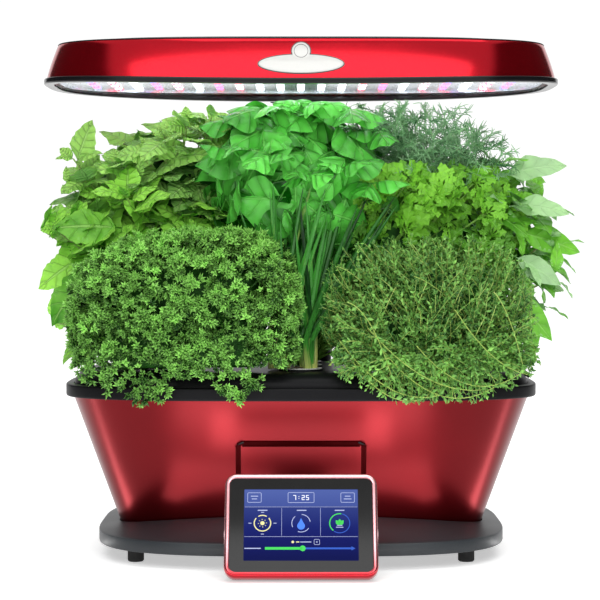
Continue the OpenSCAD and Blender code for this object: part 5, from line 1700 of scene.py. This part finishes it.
class GARDEN_OT_curly_parsley(bpy.types.Operator):
    """Grows the curly parsley: frilled heads that spill over the bowl's edge"""

    bl_idname = "garden.curly_parsley"
    bl_label = "Curly parsley"

    def execute(self, context):
        herb = Herb("curly_parsley", 0, 71)
        herb.sides = 4
        rng = herb.rng
        centre, radii = np.array((-92.0, -62.0, 192.0)), np.array((86.0, 36.0, 66.0))
        skin_heads, outs = shell_points(rng, centre, radii, 330, 3.4, 0.1)
        inner, inner_outs = shell_points(rng, centre, radii * 0.84, 120, 3.4, 0.3)
        heads, outs = np.concatenate([skin_heads, inner]), np.concatenate([outs, inner_outs])
        heads[:, 2] -= 9 * np.clip((-60 - heads[:, 0]) / 90, 0, 1) * np.clip((heads[:, 2] - 190) / 60, 0, 1)
        keep = (heads[:, 2] > 160) & ((outs[:, 1] < 0.5) | (heads[:, 2] > 215))
        heads, outs = heads[keep], outs[keep]
        spill = np.array([
            (-166, -98, 152), (-150, -101, 144), (-134, -102, 138), (-122, -102, 134), (-110, -102, 138),
            (-126, -101, 150), (-92, -100, 152), (-62, -101, 142), (-48, -102, 134), (-38, -102, 144),
            (-106, -100, 152), (-172, -90, 160), (-76, -100, 152), (-24, -92, 164), (-142, -102, 154),
            (-52, -101, 154), (-155, -98, 160), (-86, -98, 162), (-64, -98, 162), (-36, -96, 162),
        ])
        heads = np.concatenate([heads, spill])
        outs = np.concatenate([outs, np.tile((0.0, -0.9, -0.2), (len(spill), 1))])
        herb.stems(heads[::2] - outs[::2] * 8, (0.9, 0.6), 10, 0.4, 0.3, 6)
        for head, out in zip(heads, outs):
            count = 20
            ways = unit(out * 0.8 + rng.normal(0, 0.6, (count, 3)))
            deep = rng.uniform(4, 10, count)
            # Leaves that face up, sit higher or stand further out from the head's middle are lighter: painted
            # light and shade; the random terms are the leaves' own tone.
            lit_and_varied_tone = 0.3 + 0.22 * ways[:, 2] + 0.03 * (deep - 4) + 0.1 * (head[2] - 200) / 60
            lit_and_varied_tone = lit_and_varied_tone + rng.normal(0, 0.07) + rng.normal(0, 0.19, count)
            herb.leaves(head + ways * deep[:, None], ways + rng.normal(0, 0.3, (count, 3)),
                        rng.normal(0, 1, (count, 3)), rng.uniform(0.8, 1.25, count),
                        rng.integers(0, 5, count), np.clip(lit_and_varied_tone, 0, 1))
        shapes = [tuft_shape(7, 4.6, 2.1, 1.25, 70 + i) for i in range(5)]
        skin = leaf_finish("curly parsley leaf", (6, 56, 2), (158, 228, 104), (130, 200, 90),
                           (90, 160, 60), (0.4, 0.52), 4, 0.3, 600.0, 0.02, 0.3)
        stem = stem_finish("curly parsley stem", (40, 90, 30), (100, 155, 70))
        herb.heart("curly_parsley_heart", (-92, -56, 190), (62, 22, 48), 153)
        herb.finish(shapes, skin, stem, 6, (-196, 6, -114, 0, 276), split=3)
        return {"FINISHED"}


class GARDEN_OT_thyme(bpy.types.Operator):
    """Grows the thyme: wiry stems with tiny leaves that spill over the bowl's edge"""

    bl_idname = "garden.thyme"
    bl_label = "Thyme"

    def execute(self, context):
        herb = Herb("thyme", 2, 81)
        herb.sides = 3
        rng = herb.rng
        tips, outs = shell_points(rng, (101, -60, 200), (84, 44, 57), 980, 3.2, 0.35)
        keep = (tips[:, 2] > 152) & ((outs[:, 1] < 0.6) | (tips[:, 2] > 205))
        tips, outs = tips[keep], outs[keep]
        x = rng.uniform(26, 184, 330)
        low = np.interp(x, [26, 45, 75, 140, 165, 184], [152, 140, 128, 130, 140, 156])
        hang = np.column_stack([x, rng.uniform(-107, -97, 330), low + rng.uniform(0, 1, 330) ** 1.4 * 44])
        tips = np.concatenate([tips, hang])
        outs = np.concatenate([outs, np.tile((0.0, -0.8, 0.3), (330, 1))])
        sweep = rng.normal(0, 1, (len(tips), 3)) * (28, 8, 14)
        starts = herb.pod * 0.42 + tips * 0.58 + sweep * 0.6 + (0, 0, -14)
        starts[:, 2] = np.maximum(starts[:, 2], HERB_Z + 4)
        for start, tip, out in zip(starts, tips, outs):
            middle = (start + tip) / 2 + out * 8 + (0, 0, 7)
            line = bend(start, middle, tip, np.linspace(0, 1, 8)[:, None])
            on_deck = line[:, 1] > -97
            if (line[:, 2] < HERB_Z + 2)[on_deck].any():
                line[:, 2] = np.where(on_deck, np.maximum(line[:, 2], HERB_Z + 3), line[:, 2])
            woody = float(np.clip(rng.normal(0.55, 0.22), 0, 1))
            herb.add_path(line, np.linspace(0.5, 0.26, 8), woody)
            # Stems that reach upwards get lighter leaves, painted light from above; the random part is the
            # leaves' own tone.
            shade = 0.08 + 0.16 * out[2] + 0.5 * rng.uniform() ** 1.3
            herb.pairs(line, np.linspace(0.25, 1, 9), np.linspace(0.3, 0.9, 9), np.linspace(1.15, 0.75, 9),
                       (0, 2), np.full(9, shade), (0, -0.5, 0.5), 0.5)
        sprays = [(30, 176, 108, 134, -16), (52, 186, 140, 138, -14), (64, 168, 150, 140, -20),
                  (90, 172, 172, 152, -20), (40, 160, 90, 130, -10), (120, 200, 176, 150, -10),
                  (36, 206, 70, 150, 12), (150, 214, 172, 158, 8)]
        for x0, z0, x1, z1, sag in sprays:
            t = np.linspace(0, 1, 12)[:, None]
            line = (1 - t) * (x0, -101, z0) + t * (x1, -107, z1) + 4 * t * (1 - t) * (0, -3, sag)
            herb.add_path(line, np.linspace(0.5, 0.3, 12), 0.75)
            herb.pairs(line, np.linspace(0.1, 1, 9), np.linspace(0.3, 0.9, 9), np.full(9, 1.1), (0, 2),
                       np.full(9, 0.5), (0, -0.5, 0.5), 0.5)
        shapes = [scale_leaf(5.8, 2.7), scale_leaf(4.8, 3.1)]
        skin = leaf_finish("thyme leaf", (12, 76, 24), (160, 226, 106), (140, 195, 100),
                           (150, 190, 110), (0.42, 0.55), 3, 0.2, 400.0, 0.1, 0.1)
        stem = stem_finish("thyme stem", (86, 130, 44), (190, 214, 110))
        herb.heart("thyme_heart", (101, -56, 194), (56, 20, 36), 155)
        herb.finish(shapes, skin, stem, 5, (6, 196, -114, 0, 268))
        return {"FINISHED"}


# ---- finishes ----

FINISH, TREES = {}, {}


def paint_nodes(finishes):
    """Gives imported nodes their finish."""
    for node, finish in finishes.items():
        piece = frame["nodes"][node]
        piece.data.materials.clear()
        piece.data.materials.append(FINISH[finish])


class GARDEN_OT_finishes(bpy.types.Operator):
    """Makes the garden's finishes and its node trees"""

    bl_idname = "garden.finishes"
    bl_label = "Finishes"

    def execute(self, context):
        colours = context.scene.garden_colours
        red = np.array(colours.paint)
        FINISH["base"] = moulded("satin grey base", (0.022, 0.026, 0.03), (0.034, 0.039, 0.044),
                                rough=(0.36, 0.46), Specular_IOR_Level=0.35)
        FINISH["black"] = moulded("moulded black", (0.007, 0.007, 0.008), (0.012, 0.012, 0.013),
                                 rough=(0.45, 0.6), Specular_IOR_Level=0.15)
        FINISH["satin black"] = moulded("satin black", (0.005, 0.005, 0.006), (0.009, 0.009, 0.01),
                                       rough=(0.34, 0.44), Specular_IOR_Level=0.1)
        FINISH["gloss black"] = moulded("gloss black", (0.004, 0.004, 0.005), (0.008, 0.008, 0.009),
                                        rough=(0.14, 0.22), depth=0.03, Specular_IOR_Level=0.3)
        FINISH["rubber"] = moulded("foot rubber", (0.01, 0.01, 0.01), (0.022, 0.022, 0.022),
                                   500.0, (0.75, 0.9), 0.3)
        FINISH["ivory plastic"] = moulded("ivory plastic", (0.6, 0.59, 0.52), (0.75, 0.74, 0.68),
                                          rough=(0.4, 0.5))
        FINISH["clear tube"] = moulded("clear tube", (0.5, 0.56, 0.58), (0.62, 0.68, 0.7), rough=(0.1, 0.2),
                                       Alpha=0.45)
        FINISH["label"] = moulded("pod label", (0.7, 0.7, 0.66), (0.82, 0.82, 0.78), 1500.0, (0.4, 0.55))
        # The hearts' dark green is painted shade of the herbs' insides.
        FINISH["inner leaves"] = moulded("inner leaves", linear(8, 46, 4), linear(44, 108, 26),
                                         240.0, (0.5, 0.65), 1.0, 90.0, Specular_IOR_Level=0.2)
        FINISH["sponge"] = moulded("grow sponge", (0.05, 0.03, 0.015), (0.16, 0.1, 0.05),
                                   700.0, (0.85, 0.95), 0.9)
        FINISH["badge"] = moulded("badge enamel", (0.6, 0.6, 0.57), (0.66, 0.66, 0.63), rough=(0.18, 0.25),
                                  depth=0.02, Coat_Weight=0.5)
        FINISH["badge line"] = moulded("badge line", (0.03, 0.03, 0.03), (0.06, 0.055, 0.05),
                                       rough=(0.25, 0.35))
        FINISH["red paint"] = metallic_paint("red bowl paint", tuple(red * 0.24), tuple(red * 0.34),
                                             clear=0.15)
        FINISH["red hood"] = metallic_paint("red hood paint", tuple(red * 0.7), tuple(red * 0.88),
                                            0.14, 0.06, 0.08)
        # The frame's pale pink upper part is a painted highlight.
        FINISH["red gloss"] = red_frame_painted_highlight("red gloss frame", linear(176, 10, 30), linear(236, 166, 172))
        FINISH["steel"] = brushed_metal("screw steel", (0.5, 0.5, 0.52), (0.7, 0.7, 0.72), 0.3, (1, 0.05, 1))
        FINISH["drawn aluminium"] = brushed_metal("drawn aluminium", (0.62, 0.63, 0.65), (0.78, 0.79, 0.8))
        FINISH["silver tray"] = brushed_metal("silver tray", (0.78, 0.82, 0.9), (0.92, 0.95, 1.0),
                                              0.25, (1, 0.1, 1))
        FINISH["board"] = circuit_board("circuit board")
        FINISH["white board"] = moulded("lamp board", (0.6, 0.62, 0.62), (0.72, 0.74, 0.74))
        FINISH["black glass"] = moulded("black glass", (0.003, 0.003, 0.003), (0.006, 0.006, 0.006), 60.0,
                                        (0.06, 0.1), 0.0, Specular_IOR_Level=0.25)
        FINISH["lens"] = moulded("lamp lens", (0.8, 0.86, 0.92), (0.9, 0.95, 1.0),
                                rough=(0.05, 0.1), depth=0.02, Alpha=0.12)
        FINISH["white lamp"] = glowing("white lamp", (0.95, 0.97, 1.0), 5.0, (0.75, 0.85, 1.0))
        FINISH["red lamp"] = glowing("red lamp", (1.0, 0.12, 0.18), 2.8, (1.0, 0.2, 0.35))
        FINISH["blue lamp"] = glowing("blue lamp", (0.2, 0.2, 1.0), 2.8, (0.45, 0.3, 1.0))
        FINISH["picture blue"] = screen_glow("picture ground", 0.018, 0.06, (0.0, linear(4, 14, 84)),
                                             (0.3, linear(14, 24, 104)), (0.5, linear(22, 34, 116)),
                                             (1.0, linear(58, 74, 148)))
        FINISH["picture header"] = screen_glow("picture header", 0.055, 0.07, (0.0, linear(74, 92, 168)),
                                               (1.0, linear(92, 112, 186)))
        for name, colour in {"pale": (0.45, 0.5, 0.75), "white": (0.9, 0.92, 1.0), "sky": (0.07, 0.22, 0.85),
                             "yellow": (0.8, 0.75, 0.35), "green": (0.06, 0.62, 0.1),
                             "track": (0.03, 0.1, 0.5)}.items():
            FINISH["picture " + name] = glowing("picture " + name, colour, 0.9, tuple(np.array(colour) * 0.9))
        TREES["spread"], TREES["stalk"] = spread_tree(), stalk_tree()
        return {"FINISHED"}


# ---- stage ----

CAMERA_PLACE, CAMERA_TILT = (-0.0008, -1.553, 0.255), 1.83  # in metres, and in degrees below level
LENS, SENSOR = 114.0, 36.0
FLOOR_HALF = 9000.0
# name, place, target, width, height (in metres) and power of each area light
LIGHTS = (
    ("key", (0, -2.2, 1.7), (0, 0, 0.25), 2.6, 0.8, 19),
    ("top", (0.2, -0.5, 2.4), (0, 0, 0.2), 1.6, 1.2, 15),
    ("floor glow", (0, -0.205, 0.003), (0, -0.205, 1.0), 0.3, 0.08, 0.3),
    ("plate glow", (0, -0.074, 0.027), (0, -0.074, 1.0), 0.25, 0.05, 0.1),
    ("screen glow", (0, -0.106, 0.06), (0, -0.04, 0.09), 0.16, 0.03, 0.06),
    ("strip", (-0.33, -0.02, 0.003), (-0.33, -0.02, 1.0), 0.3, 0.024, 0.14),
    ("strip", (0.33, -0.02, 0.003), (0.33, -0.02, 1.0), 0.3, 0.024, 0.14),
    ("under hood", (0, 0.0, 0.374), (0, 0.0, 0.0), 0.34, 0.14, 0.06),
)


class GARDEN_OT_stage(bpy.types.Operator):
    """Lays the pale floor, and sets the studio lights and the camera"""

    bl_idname = "garden.stage"
    bl_label = "Stage"

    def execute(self, context):
        self.floor()
        world = bpy.data.worlds.new("studio")
        world.use_nodes = True
        self.sky(world.node_tree)
        context.scene.world = world
        for lamp in LIGHTS:
            self.light(*lamp)
        camera = bpy.data.cameras.new("camera")
        camera.lens, camera.sensor_width = LENS, SENSOR
        seat = bpy.data.objects.new("camera", camera)
        seat.location = CAMERA_PLACE
        seat.rotation_euler = Euler((math.radians(90 - CAMERA_TILT), 0, 0))
        context.scene.collection.objects.link(seat)
        context.scene.camera = seat
        context.scene.view_settings.view_transform = "Standard"
        return {"FINISHED"}

    def floor(self):
        """A pale floor that glows a little, so that it meets the white surround."""
        finish = moulded("pale floor", (0.8, 0.8, 0.8), (0.83, 0.83, 0.83), 120.0, (0.5, 0.6), 0.02)
        glow(finish.node_tree, finish.node_tree.nodes["Principled BSDF"], (1, 1, 1, 1), 0.5)
        corners = box(-FLOOR_HALF, -FLOOR_HALF, FLOOR_HALF, FLOOR_HALF)
        mesh = mesh_of("floor", level(corners, 0), [(0, 1, 2, 3)])
        mesh.materials.append(finish)
        floor = bpy.data.objects.new("floor", mesh)
        bpy.context.scene.collection.objects.link(floor)

    def sky(self, tree):
        """A white surround for the eye, which lights the garden less from its two sides."""
        around = add_node(tree, "ShaderNodeTexCoord").outputs["Generated"]
        way = add_node(tree, "ShaderNodeSeparateXYZ", {0: around})
        backing = tree.nodes["Background"]
        strength = span(tree, compute(tree, "ABSOLUTE", way.outputs[0]), 1.0, 0.06, 0.54, 0.6)
        feed(tree, backing.inputs["Strength"], strength)
        backing.inputs["Color"].default_value = (1, 1, 1, 1)
        seen = add_node(tree, "ShaderNodeBackground", {"Color": (1, 1, 1, 1), "Strength": 1.05})
        ray = add_node(tree, "ShaderNodeLightPath").outputs["Is Camera Ray"]
        both = add_node(tree, "ShaderNodeMixShader", {0: ray, 1: backing.outputs[0], 2: seen.outputs[0]})
        feed(tree, tree.nodes["World Output"].inputs[0], both.outputs[0])

    def light(self, name, spot, target, width, height, power):
        """An area light that looks from spot to target."""
        data = bpy.data.lights.new(name, "AREA")
        data.shape, data.size, data.size_y, data.energy = "RECTANGLE", width, height, power
        lamp = bpy.data.objects.new(name, data)
        lamp.location = spot
        lamp.rotation_euler = (Vector(target) - Vector(spot)).to_track_quat("-Z", "Y").to_euler()
        lamp.visible_camera = False
        bpy.context.scene.collection.objects.link(lamp)


# ---- add-on ----


class GardenColours(bpy.types.PropertyGroup):
    """Colours that a user may change."""

    paint: bpy.props.FloatVectorProperty(
        name="Paint", description="Colour of the bowl's and hood's metallic paint",
        default=(0.5, 0.004, 0.014), size=3, min=0, max=1, subtype="COLOR")


class GardenSizes(bpy.types.PropertyGroup):
    """Sizes that a user may change, as factors of the herbs' own."""

    leaf_scale: bpy.props.FloatProperty(
        name="Leaf size", description="Size of every leaf against its own", default=1.0, min=0.5, max=1.5,
        subtype="FACTOR")
    stem_scale: bpy.props.FloatProperty(
        name="Stem thickness", description="Thickness of every stem and blade against its own", default=1.0,
        min=0.5, max=2.0, subtype="FACTOR")


class GARDEN_PT_panel(bpy.types.Panel):
    """Lists the steps that build the garden"""

    bl_label = "Garden"
    bl_space_type = "VIEW_3D"
    bl_region_type = "UI"
    bl_category = "Garden"

    def draw(self, context):
        self.layout.prop(context.scene.garden_colours, "paint")
        self.layout.prop(context.scene.garden_sizes, "leaf_scale")
        self.layout.prop(context.scene.garden_sizes, "stem_scale")
        for step in STEPS:
            self.layout.operator("garden." + step)


OPERATORS = (
    GARDEN_OT_stage, GARDEN_OT_finishes, GARDEN_OT_base, GARDEN_OT_bowl, GARDEN_OT_deck,
    GARDEN_OT_mast, GARDEN_OT_hood, GARDEN_OT_lamps, GARDEN_OT_screen, GARDEN_OT_mint,
    GARDEN_OT_basil, GARDEN_OT_dill, GARDEN_OT_thai_basil, GARDEN_OT_lemon_balm,
    GARDEN_OT_flat_parsley, GARDEN_OT_chives, GARDEN_OT_curly_parsley, GARDEN_OT_thyme,
)
STEPS = [o.bl_idname.split(".")[1] for o in OPERATORS]


def register():
    for kind in (GardenColours, GardenSizes, *OPERATORS, GARDEN_PT_panel):
        bpy.utils.register_class(kind)
    bpy.types.Scene.garden_colours = bpy.props.PointerProperty(type=GardenColours)
    bpy.types.Scene.garden_sizes = bpy.props.PointerProperty(type=GardenSizes)


def unregister():
    del bpy.types.Scene.garden_sizes
    del bpy.types.Scene.garden_colours
    for kind in (GARDEN_PT_panel, *reversed(OPERATORS), GardenSizes, GardenColours):
        bpy.utils.unregister_class(kind)


def main():
    for o in list(bpy.context.scene.objects):
        if o.type in ("LIGHT", "CAMERA"):
            bpy.data.objects.remove(o)
    register()
    for step in STEPS:
        getattr(bpy.ops.garden, step)()


if __name__ == "__main__":
    main()
